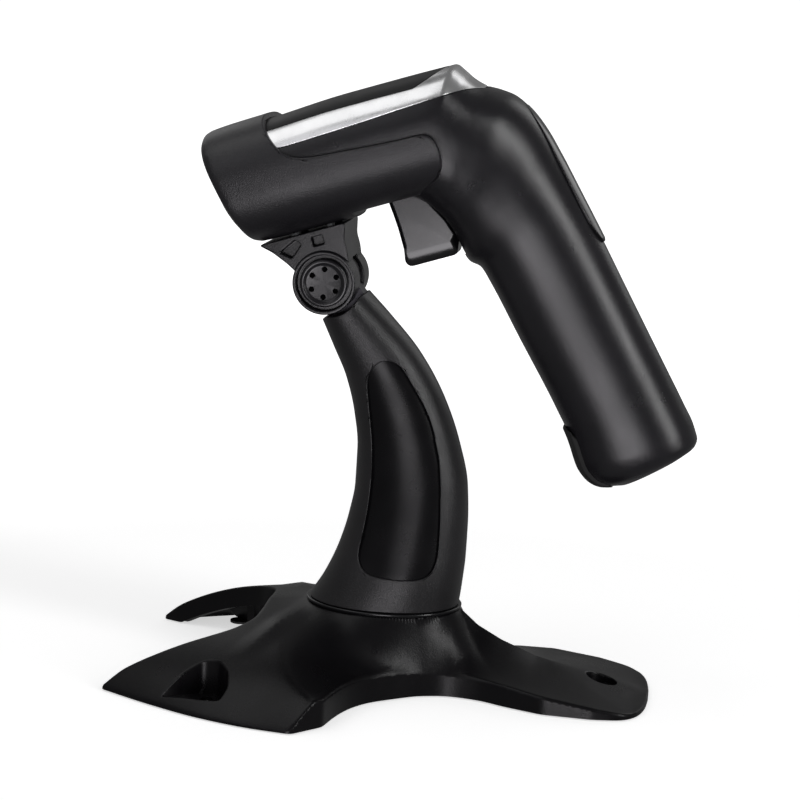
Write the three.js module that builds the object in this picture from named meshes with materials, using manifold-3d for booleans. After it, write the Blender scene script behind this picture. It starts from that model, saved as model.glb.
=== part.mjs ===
// Handheld barcode scanner resting in its hands-free stand, as an assembly of separate pieces.
// Millimetres, +Z up. The origin is the middle of the outline on the resting surface, the scanner's
// nose points to -X and the grip hangs towards +X.
import * as THREE from "three";
import { mergeVertices } from "three/addons/utils/BufferGeometryUtils.js";
import Module from "manifold-3d";

const wasm = await Module();
wasm.setup();

// ---------------------------------------------------------------- driving dimensions

const GAP = 0.3;                    // clearance between pieces that rest on each other
const SIDES = 20;                   // facets round a section
const CENTRE_X = 8.87;              // pillar centre, measured back from the middle of the outline

// hinge between the stand and the scanner holder
const HINGE = { x: -27.05, z: 155.8 };
const BARREL_TILT = 18.66;          // slope of the barrel above level, in degrees
const DRUM_RADIUS = 12;
const DRUM_HALF = 19;
const KNOB_RADIUS = 9.1;
const KNOB_THICK = 3.2;
const TONGUE_RADIUS = 10.8;
const TONGUE_HALF = 4.6;
const SLOT_HALF = 5.6;
const BOLT_RADIUS = 2.8;
const SADDLE_RADIUS = 13.6;

// base
const RIM_Z = 30;                   // height of the neck plateau that carries the pillar
const RIM_A = 30.1;                 // half-length of the neck oval
const RIM_B = 24.9;                 // half-width of the neck oval
const SHELL_BOTTOM = 0.5;           // lower edge of the base shell, held up by the feet
const FOOT_HEIGHT = 0.9;
const FOOT_RADIUS = 4.2;
const BASE_WALL = 2.4;
const NOTCH_WALL = 8.5;             // height of the wall round the front notch
const GRID_CELLS = [25, 22];        // cells of the base surface along X and Y

// scanner
const SCANNER_WALL = 2.2;
const TRIGGER_HALF = 9.6;
const TRIGGER_PIVOT = { u: 35, v: 28.6 };
const PANEL_HALF = 26;

// holder cup
const CUP_WALL = 2.4;
const WING_CHANNEL = 22;            // half-width of the open channel under the wings

// ---------------------------------------------------------------- materials

const plastic = (colour, roughness, metalness = 0) =>
  new THREE.MeshStandardMaterial({ color: colour, roughness, metalness });
const MATTE_BLACK = () => plastic(0x17171a, 0.55);
const GRAINED_BLACK = () => plastic(0x1b1b1e, 0.62);
const GLOSS_BLACK = () => plastic(0x0c0c0e, 0.15);
const BASE_BLACK = () => plastic(0x141416, 0.4);
const CHROME = () => plastic(0xe8e8ea, 0.08, 1);
const STEEL = () => plastic(0x9a9ca0, 0.35, 1);
const RUBBER = () => plastic(0x101010, 0.85);
const BOARD_GREEN = () => plastic(0x1f5a33, 0.5);
const DARK_GLASS = () => plastic(0x2a0508, 0.05);
const LENS_GLASS = () => plastic(0x20252c, 0.05);
const BATTERY_GREY = () => plastic(0x5c6066, 0.5);

// ---------------------------------------------------------------- geometry helpers

const plain = (geometry) => {
  const bare = geometry.clone();
  bare.deleteAttribute("normal");
  bare.deleteAttribute("uv");
  return mergeVertices(bare, 1e-5);
};

const solid = (geometry) => {
  const bare = plain(geometry);
  return new wasm.Manifold(new wasm.Mesh({
    numProp: 3,
    vertProperties: new Float32Array(bare.attributes.position.array),
    triVerts: new Uint32Array(bare.index.array),
  }));
};

const geometryOf = (manifold) => {
  const mesh = manifold.getMesh();
  const geometry = new THREE.BufferGeometry();
  geometry.setAttribute("position", new THREE.BufferAttribute(mesh.vertProperties, 3));
  geometry.setIndex(new THREE.BufferAttribute(mesh.triVerts, 1));
  geometry.computeVertexNormals();
  return geometry;
};

const cut = (body, ...tools) => tools.reduce((rest, tool) => rest.subtract(tool), body);
const join = (body, ...others) => others.reduce((sum, other) => sum.add(other), body);

const box = (x0, x1, y0, y1, z0, z1) => {
  const geometry = new THREE.BoxGeometry(x1 - x0, y1 - y0, z1 - z0);
  return solid(geometry.translate((x0 + x1) / 2, (y0 + y1) / 2, (z0 + z1) / 2));
};

// outline in the X-Z plane, extruded from y0 to y1
const sidePrism = (outline, y0, y1) => {
  const shape = new THREE.Shape(outline.map(([x, z]) => new THREE.Vector2(x, z)));
  const geometry = new THREE.ExtrudeGeometry(shape, { depth: y1 - y0, bevelEnabled: false });
  return solid(geometry.rotateX(Math.PI / 2).translate(0, y1, 0));
};

// outline in the X-Y plane, extruded from z0 to z1
const planPrism = (outline, z0, z1) => {
  const shape = new THREE.Shape(outline.map(([x, y]) => new THREE.Vector2(x, y)));
  const geometry = new THREE.ExtrudeGeometry(shape, { depth: z1 - z0, bevelEnabled: false });
  return solid(geometry.translate(0, 0, z0));
};

// round bar along Y
const crossBar = (x, z, radius, y0, y1, sides = 24) => {
  const geometry = new THREE.CylinderGeometry(radius, radius, y1 - y0, sides);
  return solid(geometry.translate(x, (y0 + y1) / 2, z));
};

// round bar along Z
const uprightBar = (x, y, radius, z0, z1, sides = 20) => {
  const geometry = new THREE.CylinderGeometry(radius, radius, z1 - z0, sides);
  return solid(geometry.rotateX(Math.PI / 2).translate(x, y, (z0 + z1) / 2));
};

// round bar along X
const lengthBar = (y, z, radius, x0, x1, sides = 20) => {
  const geometry = new THREE.CylinderGeometry(radius, radius, x1 - x0, sides);
  return solid(geometry.rotateZ(Math.PI / 2).translate((x0 + x1) / 2, y, z));
};

// one ring of a lofted body: a superellipse between its back and front points
const sectionRing = ({ back, front, half, power }, sides) => {
  const ring = [];
  for (let i = 0; i < sides; i += 1) {
    const angle = (2 * Math.PI * i) / sides;
    const along = Math.sign(Math.cos(angle)) * Math.abs(Math.cos(angle)) ** (2 / power);
    const across = Math.sign(Math.sin(angle)) * Math.abs(Math.sin(angle)) ** (2 / power);
    const x = (back[0] + front[0]) / 2 + ((back[0] - front[0]) / 2) * along;
    const z = (back[1] + front[1]) / 2 + ((back[1] - front[1]) / 2) * along;
    ring.push([x, half * across, z]);
  }
  return ring;
};

const signedVolume = (positions, triangles) => {
  let total = 0;
  const corner = (i) => new THREE.Vector3(...positions[i]);
  for (const [a, b, c] of triangles) {
    total += corner(a).dot(corner(b).cross(corner(c)));
  }
  return total;
};

// closed body through a row of sections
const loft = (stations, sides = SIDES) => {
  const rings = stations.map((station) => sectionRing(station, sides));
  const positions = rings.flat();
  const triangles = [];
  for (let s = 0; s + 1 < rings.length; s += 1) {
    for (let i = 0; i < sides; i += 1) {
      const j = (i + 1) % sides;
      const [a, b] = [s * sides + i, s * sides + j];
      triangles.push([a, b, b + sides], [a, b + sides, a + sides]);
    }
  }
  for (const [ring, flip] of [[0, true], [rings.length - 1, false]]) {
    const centre = positions.length;
    const mean = [0, 1, 2].map((k) => rings[ring].reduce((sum, point) => sum + point[k], 0) / sides);
    positions.push(mean);
    for (let i = 0; i < sides; i += 1) {
      const [a, b] = [ring * sides + i, ring * sides + ((i + 1) % sides)];
      triangles.push(flip ? [centre, b, a] : [centre, a, b]);
    }
  }
  const inwards = signedVolume(positions, triangles) < 0;
  const geometry = new THREE.BufferGeometry();
  geometry.setAttribute("position", new THREE.Float32BufferAttribute(positions.flat(), 3));
  geometry.setIndex((inwards ? triangles.map(([a, b, c]) => [a, c, b]) : triangles).flat());
  return solid(geometry);
};

// the same sections, each drawn in by an inset all round
const inset = (stations, by) => stations.map(({ back, front, half, power }) => {
  const length = Math.hypot(back[0] - front[0], back[1] - front[1]);
  const step = [(front[0] - back[0]) * (by / length), (front[1] - back[1]) * (by / length)];
  return {
    back: [back[0] + step[0], back[1] + step[1]],
    front: [front[0] - step[0], front[1] - step[1]],
    half: half - by,
    power,
  };
});

const station = (back, front, half, power) => ({ back, front, half, power });

// distance from a line to a point: positive on the line's right-hand side, levelling off beyond it
const distanceTo = (line, x, y) => {
  let nearest = Infinity;
  let sign = 1;
  for (let i = 0; i + 1 < line.length; i += 1) {
    const [ax, ay] = line[i];
    const [dx, dy] = [line[i + 1][0] - ax, line[i + 1][1] - ay];
    const part = ((x - ax) * dx + (y - ay) * dy) / (dx * dx + dy * dy);
    const t = Math.min(1, Math.max(0, part));
    const distance = Math.hypot(x - ax - t * dx, y - ay - t * dy);
    if (distance < nearest) {
      nearest = distance;
      sign = dy * (x - ax) - dx * (y - ay) < 0 ? -1 : 1;
    }
  }
  return Math.max(-10, sign * nearest);
};

const mirrored = (outline) => [...outline, ...outline.map(([x, y]) => [x, -y]).reverse()];

// ---------------------------------------------------------------- assembly tree

const scanner_and_stand = new THREE.Group();
const standGroup = new THREE.Group();
standGroup.position.x = -CENTRE_X;
const headGroup = new THREE.Group();
headGroup.position.set(HINGE.x, 0, HINGE.z);
headGroup.rotation.y = -THREE.MathUtils.degToRad(BARREL_TILT);
standGroup.add(headGroup);
scanner_and_stand.add(standGroup);

const place = (group, name, body, material) => {
  const mesh = new THREE.Mesh(geometryOf(body), material);
  mesh.name = name;
  group.add(mesh);
};

// ---------------------------------------------------------------- base

const OUTER_EDGE = [[-99.6, 52.7], [-77, 67], [-55.6, 78], [-35.8, 84.3], [-20.7, 86.7]];
const ARCH_EDGE = [[-11, 75], [-8.5, 62], [-5.5, 52], [0, 42], [10, 32.5], [20, 25.5], [30, 23],
  [40, 24.5], [52, 30], [66, 35.6]];
const REAR_EDGE = [[85, 36.5], [96, 34], [102, 27], [104.8, 15], [105.5, 5]];
const NOTCH_EDGE = [[-46, 10], [-47, 22], [-53, 33], [-60, 38], [-70, 42.5], [-80, 46], [-92, 49]];

const baseOutline = () => mirrored([...NOTCH_EDGE, ...OUTER_EDGE, ...ARCH_EDGE, ...REAR_EDGE]);

const softMin = (values, softness) => {
  const sum = values.reduce((total, value) => total + Math.exp(-value / softness), 0);
  return -softness * Math.log(sum);
};

// height of the base's upper surface: facets rising from its edges, flared up to the neck
const baseTop = (x, y) => {
  const side = Math.abs(y);
  const front = 1.6 + 27 * (1 - Math.exp(-distanceTo(OUTER_EDGE, x, side) / 25));
  const arch = 11.5 + 19 * (1 - Math.exp(-distanceTo(ARCH_EDGE, x, side) / 20));
  const ridge = 3 * Math.max(0, 1 - side / 14) * Math.min(1, Math.max(0, (80 - x) / 20));
  const rear = 2 + 0.25 * Math.max(0, 104 - x) + ridge - 1.5 * (side / 36) ** 2;
  const beyondRim = Math.max(0, Math.hypot(x / RIM_A, y / RIM_B) - 1) * 27;
  const flare = Math.exp(-beyondRim / 7);
  return softMin([front, arch, rear], 1.2) * (1 - flare) + RIM_Z * flare;
};

// everything under a lowered copy of the base's upper surface
const underBaseTop = (drop) => {
  const [nx, ny] = GRID_CELLS;
  const [lowX, highX, halfY, floor] = [-104, 110, 94, -20];
  const positions = [];
  for (let i = 0; i <= nx; i += 1) {
    for (let j = 0; j <= ny; j += 1) {
      const x = lowX + (i * (highX - lowX)) / nx;
      const y = -halfY + (j * 2 * halfY) / ny;
      positions.push([x, y, baseTop(x, y) - drop]);
    }
  }
  const last = positions.length;
  for (let i = 0; i < last; i += 1) {
    positions.push([positions[i][0], positions[i][1], floor]);
  }
  const at = (i, j) => i * (ny + 1) + j;
  const triangles = [];
  for (let i = 0; i < nx; i += 1) {
    for (let j = 0; j < ny; j += 1) {
      const [a, b, c, d] = [at(i, j), at(i + 1, j), at(i + 1, j + 1), at(i, j + 1)];
      triangles.push([a, b, c], [a, c, d]);
      triangles.push([a + last, c + last, b + last], [a + last, d + last, c + last]);
    }
  }
  const wall = (a, b) => triangles.push([a, a + last, b + last], [a, b + last, b]);
  for (let i = 0; i < nx; i += 1) {
    wall(at(i, 0), at(i + 1, 0));
    wall(at(i + 1, ny), at(i, ny));
  }
  for (let j = 0; j < ny; j += 1) {
    wall(at(nx, j), at(nx, j + 1));
    wall(at(0, j + 1), at(0, j));
  }
  const inwards = signedVolume(positions, triangles) < 0;
  const geometry = new THREE.BufferGeometry();
  geometry.setAttribute("position", new THREE.Float32BufferAttribute(positions.flat(), 3));
  geometry.setIndex((inwards ? triangles.map(([a, b, c]) => [a, c, b]) : triangles).flat());
  return solid(geometry);
};

// outline points moved inwards by a distance, for a counter-clockwise or clockwise outline
const offsetOutline = (outline, by) => {
  const points = outline.map(([x, y]) => new THREE.Vector2(x, y));
  const turn = Math.sign(THREE.ShapeUtils.area(points));
  return points.map((point, i) => {
    const before = points[(i + points.length - 1) % points.length];
    const after = points[(i + 1) % points.length];
    const first = point.clone().sub(before).normalize();
    const second = after.clone().sub(point).normalize();
    const normal = new THREE.Vector2(-(first.y + second.y), first.x + second.x).normalize();
    const lean = Math.max(0.55, normal.dot(new THREE.Vector2(-first.y, first.x)));
    return [point.x + (normal.x * by * turn) / lean, point.y + (normal.y * by * turn) / lean];
  });
};

const SCREW_HOLE_RADIUS = 2.4;
const FRONT_SCREW = { x: -56.5, y: 62.4 };
const REAR_SCREW_X = 87;
const POCKET_FLOOR = 3.2;
const FRONT_POCKET = [[-75, 64.5], [-64, 53], [-56, 49.5], [-49.5, 53], [-47, 61], [-48, 70], [-50, 74]];
const NECK_SCREWS = [[-17, -9], [-17, 9], [17, -9], [17, 9]];

const frontPocket = (side, grow) => {
  const outline = offsetOutline(FRONT_POCKET, -grow);
  return planPrism(outline.map(([x, y]) => [x, y * side]), POCKET_FLOOR - grow, 60);
};

const rearPocket = (grow) => uprightBar(REAR_SCREW_X, 0, 6 + grow, POCKET_FLOOR - grow, 60);

const pocketsAndHoles = () => {
  const tools = [frontPocket(1, 0), frontPocket(-1, 0), rearPocket(0)];
  for (const side of [1, -1]) {
    tools.push(uprightBar(FRONT_SCREW.x, FRONT_SCREW.y * side, SCREW_HOLE_RADIUS, -10, 20, 14));
  }
  tools.push(uprightBar(REAR_SCREW_X, 0, SCREW_HOLE_RADIUS, -10, 20, 14));
  for (const [x, y] of NECK_SCREWS) {
    tools.push(uprightBar(x, y, 2.3, 10, 60, 12));
  }
  return tools;
};

const notchUndercut = () => {
  const reach = mirrored([[-40, 22], [-47, 38], [-60, 46], [-72, 50], [-84, 52], [-92, 51], [-110, 48]]);
  return underBaseTop(NOTCH_WALL).intersect(planPrism(reach, -10, 60));
};

const baseShell = () => {
  const outer = underBaseTop(0).intersect(planPrism(baseOutline(), SHELL_BOTTOM, 60));
  const room = underBaseTop(BASE_WALL).intersect(
    planPrism(offsetOutline(baseOutline(), BASE_WALL), -10, 60));
  const bosses = [frontPocket(1, 2), frontPocket(-1, 2), rearPocket(2),
    uprightBar(FRONT_SCREW.x, FRONT_SCREW.y, 6, -10, 20),
    uprightBar(FRONT_SCREW.x, -FRONT_SCREW.y, 6, -10, 20),
    uprightBar(REAR_SCREW_X, 0, 8, -10, 20)];
  const cavity = cut(room, ...bosses);
  const body = cut(outer, cavity, notchUndercut(), ...pocketsAndHoles());
  return body;
};

const BALLAST_OUTLINE = mirrored([[-36, 0.5], [-37, 22], [-46, 40], [-44, 62], [-28, 68], [-18, 56],
  [-10, 40], [0, 28], [16, 18], [44, 15], [60, 13], [75, 8]]);

const ballastPlate = () => planPrism(BALLAST_OUTLINE, FOOT_HEIGHT + GAP, 5.2);

const FOOT_PLACES = {
  front_left: [-68, 59.5], front_right: [-68, -59.5], middle_left: [-27, 56],
  middle_right: [-27, -56], rear: [69, 0],
};

// ---------------------------------------------------------------- pillar

const PILLAR = [
  station([-10.5, 151.9], [-29.3, 140.2], 15, 2.3),
  station([-2.4, 142.5], [-24.4, 129.9], 14.8, 2.3),
  station([8.8, 129.5], [-19.1, 118.5], 14.6, 2.3),
  station([19.2, 112.6], [-15.3, 105], 15, 2.3),
  station([26, 95.6], [-13.4, 91.3], 16, 2.3),
  station([30.2, 78.6], [-13.5, 77.4], 17.6, 2.3),
  station([31.1, 63], [-15.3, 65.3], 19.6, 2.25),
  station([31, 51], [-18.6, 53], 21.6, 2.2),
  station([30.3, 40.6], [-23.9, 40.4], 23.6, 2.15),
  station([29.4, 31.6], [-29.2, 31.6], 24.6, 2.1),
];

const INLAY = [[-2.3, 127.9], [-8.2, 123.2], [-8.5, 118.3], [-5.8, 105.2], [-4.5, 90], [-5.1, 74.7],
  [-7.2, 59.1], [-8.3, 51.1], [-5.7, 45.5], [4.7, 44.4], [18.2, 45.6], [21.3, 50.5], [22.5, 69.1],
  [21.5, 84.4], [17.6, 103.2], [10.9, 119.8], [3.5, 126.8]];

const PILLAR_WALL = 4.6;
const PILLAR_SCREWS = [[2, 112], [8.5, 58]];
const PILLAR_FLOOR = 40;            // top of the solid foot that takes the neck screws

const tongueLeg = (grow) => sidePrism([[HINGE.x - 6, HINGE.z - 4], [HINGE.x + 8, HINGE.z + 2],
  [8 + grow, 126], [0 + grow, 112 - grow], [-11 - grow, 118]], -TONGUE_HALF - grow, TONGUE_HALF + grow);

const pillarRoom = () => {
  const room = loft(inset(PILLAR, PILLAR_WALL));
  return room.intersect(box(-60, 60, -60, 60, PILLAR_FLOOR, 138));
};

const pillarHalf = (side) => {
  const bosses = PILLAR_SCREWS.map(([x, z]) => crossBar(x, z, 4, -22, 22, 16));
  const recess = sidePrism(offsetOutline(INLAY, -GAP), side > 0 ? 0 : -40, side > 0 ? 40 : 0);
  const recessed = cut(recess, loft(inset(PILLAR, 2.4)));
  const half = side > 0 ? box(-60, 60, GAP / 2, 60, 0, 200) : box(-60, 60, -60, -GAP / 2, 0, 200);
  let body = cut(loft(PILLAR), cut(pillarRoom(), ...bosses), recessed);
  body = cut(body, crossBar(HINGE.x, HINGE.z, SADDLE_RADIUS, -40, 40, 48), tongueLeg(GAP));
  for (const [x, z] of PILLAR_SCREWS) {
    body = cut(body, crossBar(x, z, 1.9, -12, 12, 12));
  }
  for (const [x, y] of NECK_SCREWS) {
    body = cut(body, uprightBar(x, y, 2.3, 20, 40 - 2, 12));
  }
  return body.intersect(half);
};

const pillarInlay = (side) => {
  const slab = sidePrism(INLAY, side > 0 ? 0 : -40, side > 0 ? 40 : 0);
  return cut(loft(inset(PILLAR, 0.7)), loft(inset(PILLAR, 2.1))).intersect(slab);
};

const footRing = () => {
  const oval = (grow, z0, z1) => {
    const geometry = new THREE.CylinderGeometry(1, 1, z1 - z0, 36);
    geometry.rotateX(Math.PI / 2).scale(RIM_A + grow, RIM_B + grow, 1);
    return solid(geometry.translate(0, 0, (z0 + z1) / 2));
  };
  return cut(oval(0.4, 30.3, 31.3), oval(-4, 25, 35));
};

const neckScrew = ([x, y]) => join(uprightBar(x, y, 1.9, 22, 37.5, 12), uprightBar(x, y, 3.6, 20, 22.6, 12));

const pillarScrew = ([x, z]) => crossBar(x, z, 1.6, -11.6, 11.6, 12);

// ---------------------------------------------------------------- hinge

const pivotTongue = () => {
  const eye = crossBar(HINGE.x, HINGE.z, TONGUE_RADIUS, -TONGUE_HALF, TONGUE_HALF, 32);
  const bore = crossBar(HINGE.x, HINGE.z, BOLT_RADIUS + 0.25, -20, 20, 24);
  return cut(join(eye, tongueLeg(0)), bore);
};

const pivotWasher = (side) => {
  const [y0, y1] = side > 0 ? [TONGUE_HALF + 0.2, SLOT_HALF - 0.2] : [-SLOT_HALF + 0.2, -TONGUE_HALF - 0.2];
  return cut(crossBar(0, 0, 8.5, y0, y1), crossBar(0, 0, BOLT_RADIUS + 0.25, -20, 20));
};

const pivotBolt = () => join(crossBar(0, 0, BOLT_RADIUS, -15.2, 15.2), crossBar(0, 0, 5, 13.2, 15.4));

const KNOB_HOLES = 6;
const KNOB_HOLE_RING = 6.4;

const knobDisc = (faceY, depth, side) => {
  const [near, far] = side > 0 ? [faceY - depth, faceY] : [-faceY, -faceY + depth];
  let disc = crossBar(0, 0, KNOB_RADIUS, near, far, 36);
  const dish = side > 0 ? [far - 0.7, far + 5] : [near - 5, near + 0.7];
  disc = cut(disc, crossBar(0, 0, KNOB_RADIUS - 1.4, dish[0], dish[1], 30));
  for (let i = 0; i < KNOB_HOLES; i += 1) {
    const angle = (2 * Math.PI * (i + 0.18)) / KNOB_HOLES;
    const x = KNOB_HOLE_RING * Math.cos(angle);
    const z = KNOB_HOLE_RING * Math.sin(angle);
    const hole = side > 0 ? [far - 2.2, far + 5] : [near - 5, near + 2.2];
    disc = cut(disc, crossBar(x, z, 0.9, hole[0], hole[1], 10));
  }
  return disc;
};

// ---------------------------------------------------------------- holder

const CUP = [
  station([-30.8, 63.9], [-22.9, 24.4], 34.4, 2.7),
  station([-28.4, 66.3], [-20.2, 20.8], 36, 2.8),
  station([-8, 67.2], [-8, 20.4], 36.2, 2.8),
  station([26, 67.8], [26, 20.4], 36.2, 2.8),
  station([60, 67.8], [60, 20.4], 36.2, 2.8),
];

const COLLAR_LINE = [[-50, 90], [-5, 90], [-5, 65.3], [-3.7, 60.5], [-2, 56.8], [0.1, 52.9], [3.8, 49.2],
  [9, 47.4], [22.2, 46.1], [44.8, 44.5], [53.1, 44.2], [56.3, 42.2], [57.5, 35.4], [56.6, 30.8],
  [53.7, 27.1], [48.7, 25.2], [46, 5], [-50, 5]];

const holderCup = () => {
  const lipRoom = inset(CUP, 6.5).map((ring, i) => (i === 0
    ? station([ring.back[0] - 12, ring.back[1] + 1], [ring.front[0] - 12, ring.front[1] + 1],
      ring.half, ring.power)
    : ring));
  const bore = inset(CUP, CUP_WALL);
  bore[0] = station([-27.6, 63.9], [-18.4, 22.9], 33.6, 2.8);
  bore[1] = station([-20, 64.5], [-12, 22.9], 33.7, 2.8);
  bore[4] = station([70, 65.4], [70, 22.8], 33.8, 2.8);
  const channel = box(18, 80, -WING_CHANNEL, WING_CHANNEL, 0, 40);
  const body = cut(loft(CUP), loft(bore), loft(lipRoom), channel, loft(inset(SCANNER, -0.6)));
  const screwHoles = [[-7, -10], [-7, 10], [7, -10], [7, 10]].map(([u, y]) => uprightBar(u, y, 1.9, 10, 30, 10));
  return cut(body.intersect(sidePrism(COLLAR_LINE, -60, 60)), ...screwHoles);
};

const BRACKET_ARMS = [[-20.5, 20], [-16.3, 16.2], [-11.9, 10.6], [-9.4, 6.5], [0, 0], [11, 4.5], [11.7, 9],
  [11.7, 13.5], [13.9, 20]];
const BRACKET_HALF = 17;

const holderBracket = () => {
  const arms = cut(sidePrism(BRACKET_ARMS, -BRACKET_HALF, BRACKET_HALF), loft(inset(CUP, -GAP)));
  const drum = crossBar(0, 0, DRUM_RADIUS, -DRUM_HALF, DRUM_HALF, 40);
  const slot = crossBar(0, 0, DRUM_RADIUS + 0.6, -SLOT_HALF, SLOT_HALF, 40);
  const seats = [crossBar(0, 0, 10.7, DRUM_HALF - 3.4, 30, 36), crossBar(0, 0, 10.7, -30, -DRUM_HALF + 3.4, 36)];
  const boltHole = crossBar(0, 0, BOLT_RADIUS + 0.25, -30, 30);
  const headSeat = crossBar(0, 0, 5.4, 13, 30);
  let body = cut(join(arms, drum), slot, ...seats, boltHole, headSeat);
  for (const y of [-BRACKET_HALF, BRACKET_HALF]) {
    const deep = 3.5;
    body = cut(body, sidePrism([[-13.5, 15.4], [-6.5, 18.6], [-4.6, 16.2], [-9.6, 12]], y - deep, y + deep));
    body = cut(body, sidePrism([[-0.4, 17.8], [4, 17.8], [4, 14.2], [-0.4, 14.2]], y - deep, y + deep));
  }
  const screwHoles = [[-7, -10], [-7, 10], [7, -10], [7, 10]].map(([u, y]) => uprightBar(u, y, 1.9, 14, 30, 10));
  return cut(body, ...screwHoles);
};

const CUP_SCREWS = { front_left: [-7, 10], front_right: [-7, -10], rear_left: [7, 10], rear_right: [7, -10] };
const cupScrew = ([u, y]) => uprightBar(u, y, 1.6, 14.6, 21.6, 10);

// ---------------------------------------------------------------- scanner

const SCANNER = [
  station([-25.4, 64], [-16.6, 24.6], 31.6, 2.7),
  station([-22, 64.3], [-13, 24.2], 33, 2.8),
  station([-2, 65.2], [-2, 24], 33.1, 2.8),
  station([26, 66.3], [22, 23.8], 33.2, 2.8),
  station([50, 66.2], [35, 23.3], 33.2, 2.8),
  station([62, 66], [41.5, 21], 33, 2.8),
  station([67.8, 65.8], [45, 18], 32.6, 2.75),
  station([70.2, 63], [46, 16.8], 32.2, 2.72),
  station([72.6, 59.4], [46.8, 15.6], 31.8, 2.7),
  station([76.8, 55.2], [48.6, 12.6], 31, 2.6),
  station([81.8, 52.2], [50, 9.4], 29.8, 2.5),
  station([86.7, 48.5], [51, 5.8], 28.4, 2.45),
  station([91.7, 40.8], [52, 0.5], 26, 2.4),
  station([95, 31.5], [52.6, -3.6], 24.2, 2.4),
  station([97.1, 22.3], [53.8, -7], 22.8, 2.35),
  station([100.4, 6.8], [57.3, -10.4], 21, 2.3),
  station([103.6, -8.3], [59.5, -18], 20, 2.3),
  station([108.3, -31.9], [64.1, -39.3], 19.4, 2.3),
  station([113.9, -59.8], [70.8, -69.6], 19.4, 2.3),
  station([118.2, -81.4], [73.2, -84], 19.8, 2.35),
  station([119.7, -89.8], [73.6, -92.6], 19.8, 2.35),
  station([120, -94.6], [75.4, -98.6], 19, 2.35),
  station([118.4, -97.3], [79.6, -103], 16.6, 2.4),
  station([115.4, -98.6], [86.6, -104.9], 13, 2.4),
];

// middle of the grip, and its lean away from square to the barrel in degrees
const GRIP = { u: 89, v: -46, lean: 13 };

// outline given across and along the grip, turned into the barrel's own axes
const inGrip = (outline) => {
  const lean = THREE.MathUtils.degToRad(GRIP.lean);
  return outline.map(([across, along]) => [
    GRIP.u + across * Math.cos(lean) - along * Math.sin(lean),
    GRIP.v + across * Math.sin(lean) + along * Math.cos(lean),
  ]);
};

// everything above this line is the bright trim and the top panel
const TRIM_LINE = [[-60, 53], [1.7, 53.4], [27.9, 54.2], [55.1, 55.5], [68.3, 55.9], [76.9, 54.6],
  [82.7, 52.2], [86.2, 49.8], [90, 46.4], [110, 60], [80, 90], [-60, 90]];

const PANEL_OUTLINE = mirrored([[-40, PANEL_HALF - 0.4], [52, PANEL_HALF], [57.5, 23], [62, 17.6],
  [65.3, 9.5], [66.6, 3]]);

const aboveTrimLine = (lift) => sidePrism(TRIM_LINE.map(([u, v]) => [u, v + lift]), -60, 60);

const scannerRoom = () => {
  const rings = inset(SCANNER, SCANNER_WALL);
  rings[0] = station([-34, 61.8], [-25, 26.4], 30.8, 2.8);
  rings.splice(-2, 2);
  return loft(rings);
};

const scannerSkin = () => cut(loft(SCANNER), scannerRoom());

const TRIGGER_OPENING = () => box(28.6, 57.8, -TRIGGER_HALF - 0.5, TRIGGER_HALF + 0.5, -4.2, 34);
const BODY_SCREWS = { nose: [-4, 31], heel: [84, 20], grip: [68, -30], foot: [92, -82] };
const INSERT_LINE = [[89.4, 45], [94.2, 33.6], [96.9, 23.1], [100.4, 6.6], [102.7, -4], [104.8, -14]];
const PORT_COVER_LINE = [[68, -79.2], [73.2, -76.6], [76.2, -81.2], [79, -85.5], [81.4, -92.8], [83.4, -99.5],
  [86, -109], [66, -109]];

const backInsertBand = (depth) => {
  const inside = INSERT_LINE.map(([u, v]) => [u - depth, v - depth * 0.25]).reverse();
  return [...INSERT_LINE.map(([u, v]) => [u + 12, v + 3]), ...inside];
};

const INSERT_HALF = 9;

const scannerHalf = (side) => {
  const half = side > 0 ? box(-60, 160, GAP / 2, 60, -130, 90) : box(-60, 160, -60, -GAP / 2, -130, 90);
  let body = cut(scannerSkin(), aboveTrimLine(0), box(-60, -19, -60, 60, -10, 90));
  for (const [u, v] of Object.values(BODY_SCREWS)) {
    body = join(body, crossBar(u, v, 3.6, -30, 30, 14).intersect(loft(inset(SCANNER, 1))));
    body = cut(body, crossBar(u, v, 1.5, -9.2, 9.2, 10));
  }
  const pivotBoss = crossBar(TRIGGER_PIVOT.u, TRIGGER_PIVOT.v, 3.6, -30, 30, 14)
    .intersect(loft(inset(SCANNER, 1)));
  body = cut(join(body, pivotBoss), TRIGGER_OPENING());
  body = cut(body, crossBar(TRIGGER_PIVOT.u, TRIGGER_PIVOT.v, 1.75, -14.2, 14.2, 14));
  body = cut(body, sidePrism(backInsertBand(1.4), -INSERT_HALF - GAP, INSERT_HALF + GAP));
  body = cut(body, sidePrism(inGrip([[-5.4, -70], [5.4, -70], [5.4, -49.4], [-5.4, -49.4]]), -7, 7));
  body = cut(body, sidePrism(PORT_COVER_LINE, -8.3, 8.3));
  return body.intersect(half);
};

const chromeTrim = () => {
  const inPanel = planPrism(offsetOutline(PANEL_OUTLINE, -GAP), 50, 90);
  const trim = cut(scannerSkin().intersect(aboveTrimLine(GAP)), inPanel);
  return trim.intersect(box(-18.6, 100, -60, 60, 40, 90));
};

const topPanel = () => scannerSkin().intersect(planPrism(PANEL_OUTLINE, 54, 90))
  .intersect(box(-18.6, 100, -60, 60, 40, 90));

const noseBezel = () => {
  const skin = cut(loft(SCANNER), loft(inset(SCANNER, 4).map((ring, i) => (i === 0
    ? station([ring.back[0] - 8, ring.back[1]], [ring.front[0] - 8, ring.front[1]], ring.half, ring.power)
    : ring))));
  return skin.intersect(box(-60, -19 - GAP, -60, 60, 0, 90));
};

const scanWindow = () => {
  const pane = loft(inset(SCANNER, 4.5)).intersect(sidePrism([[-24, 70], [-22, 70], [-11.5, 20], [-13.5, 20]], -60, 60));
  return pane;
};

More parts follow.
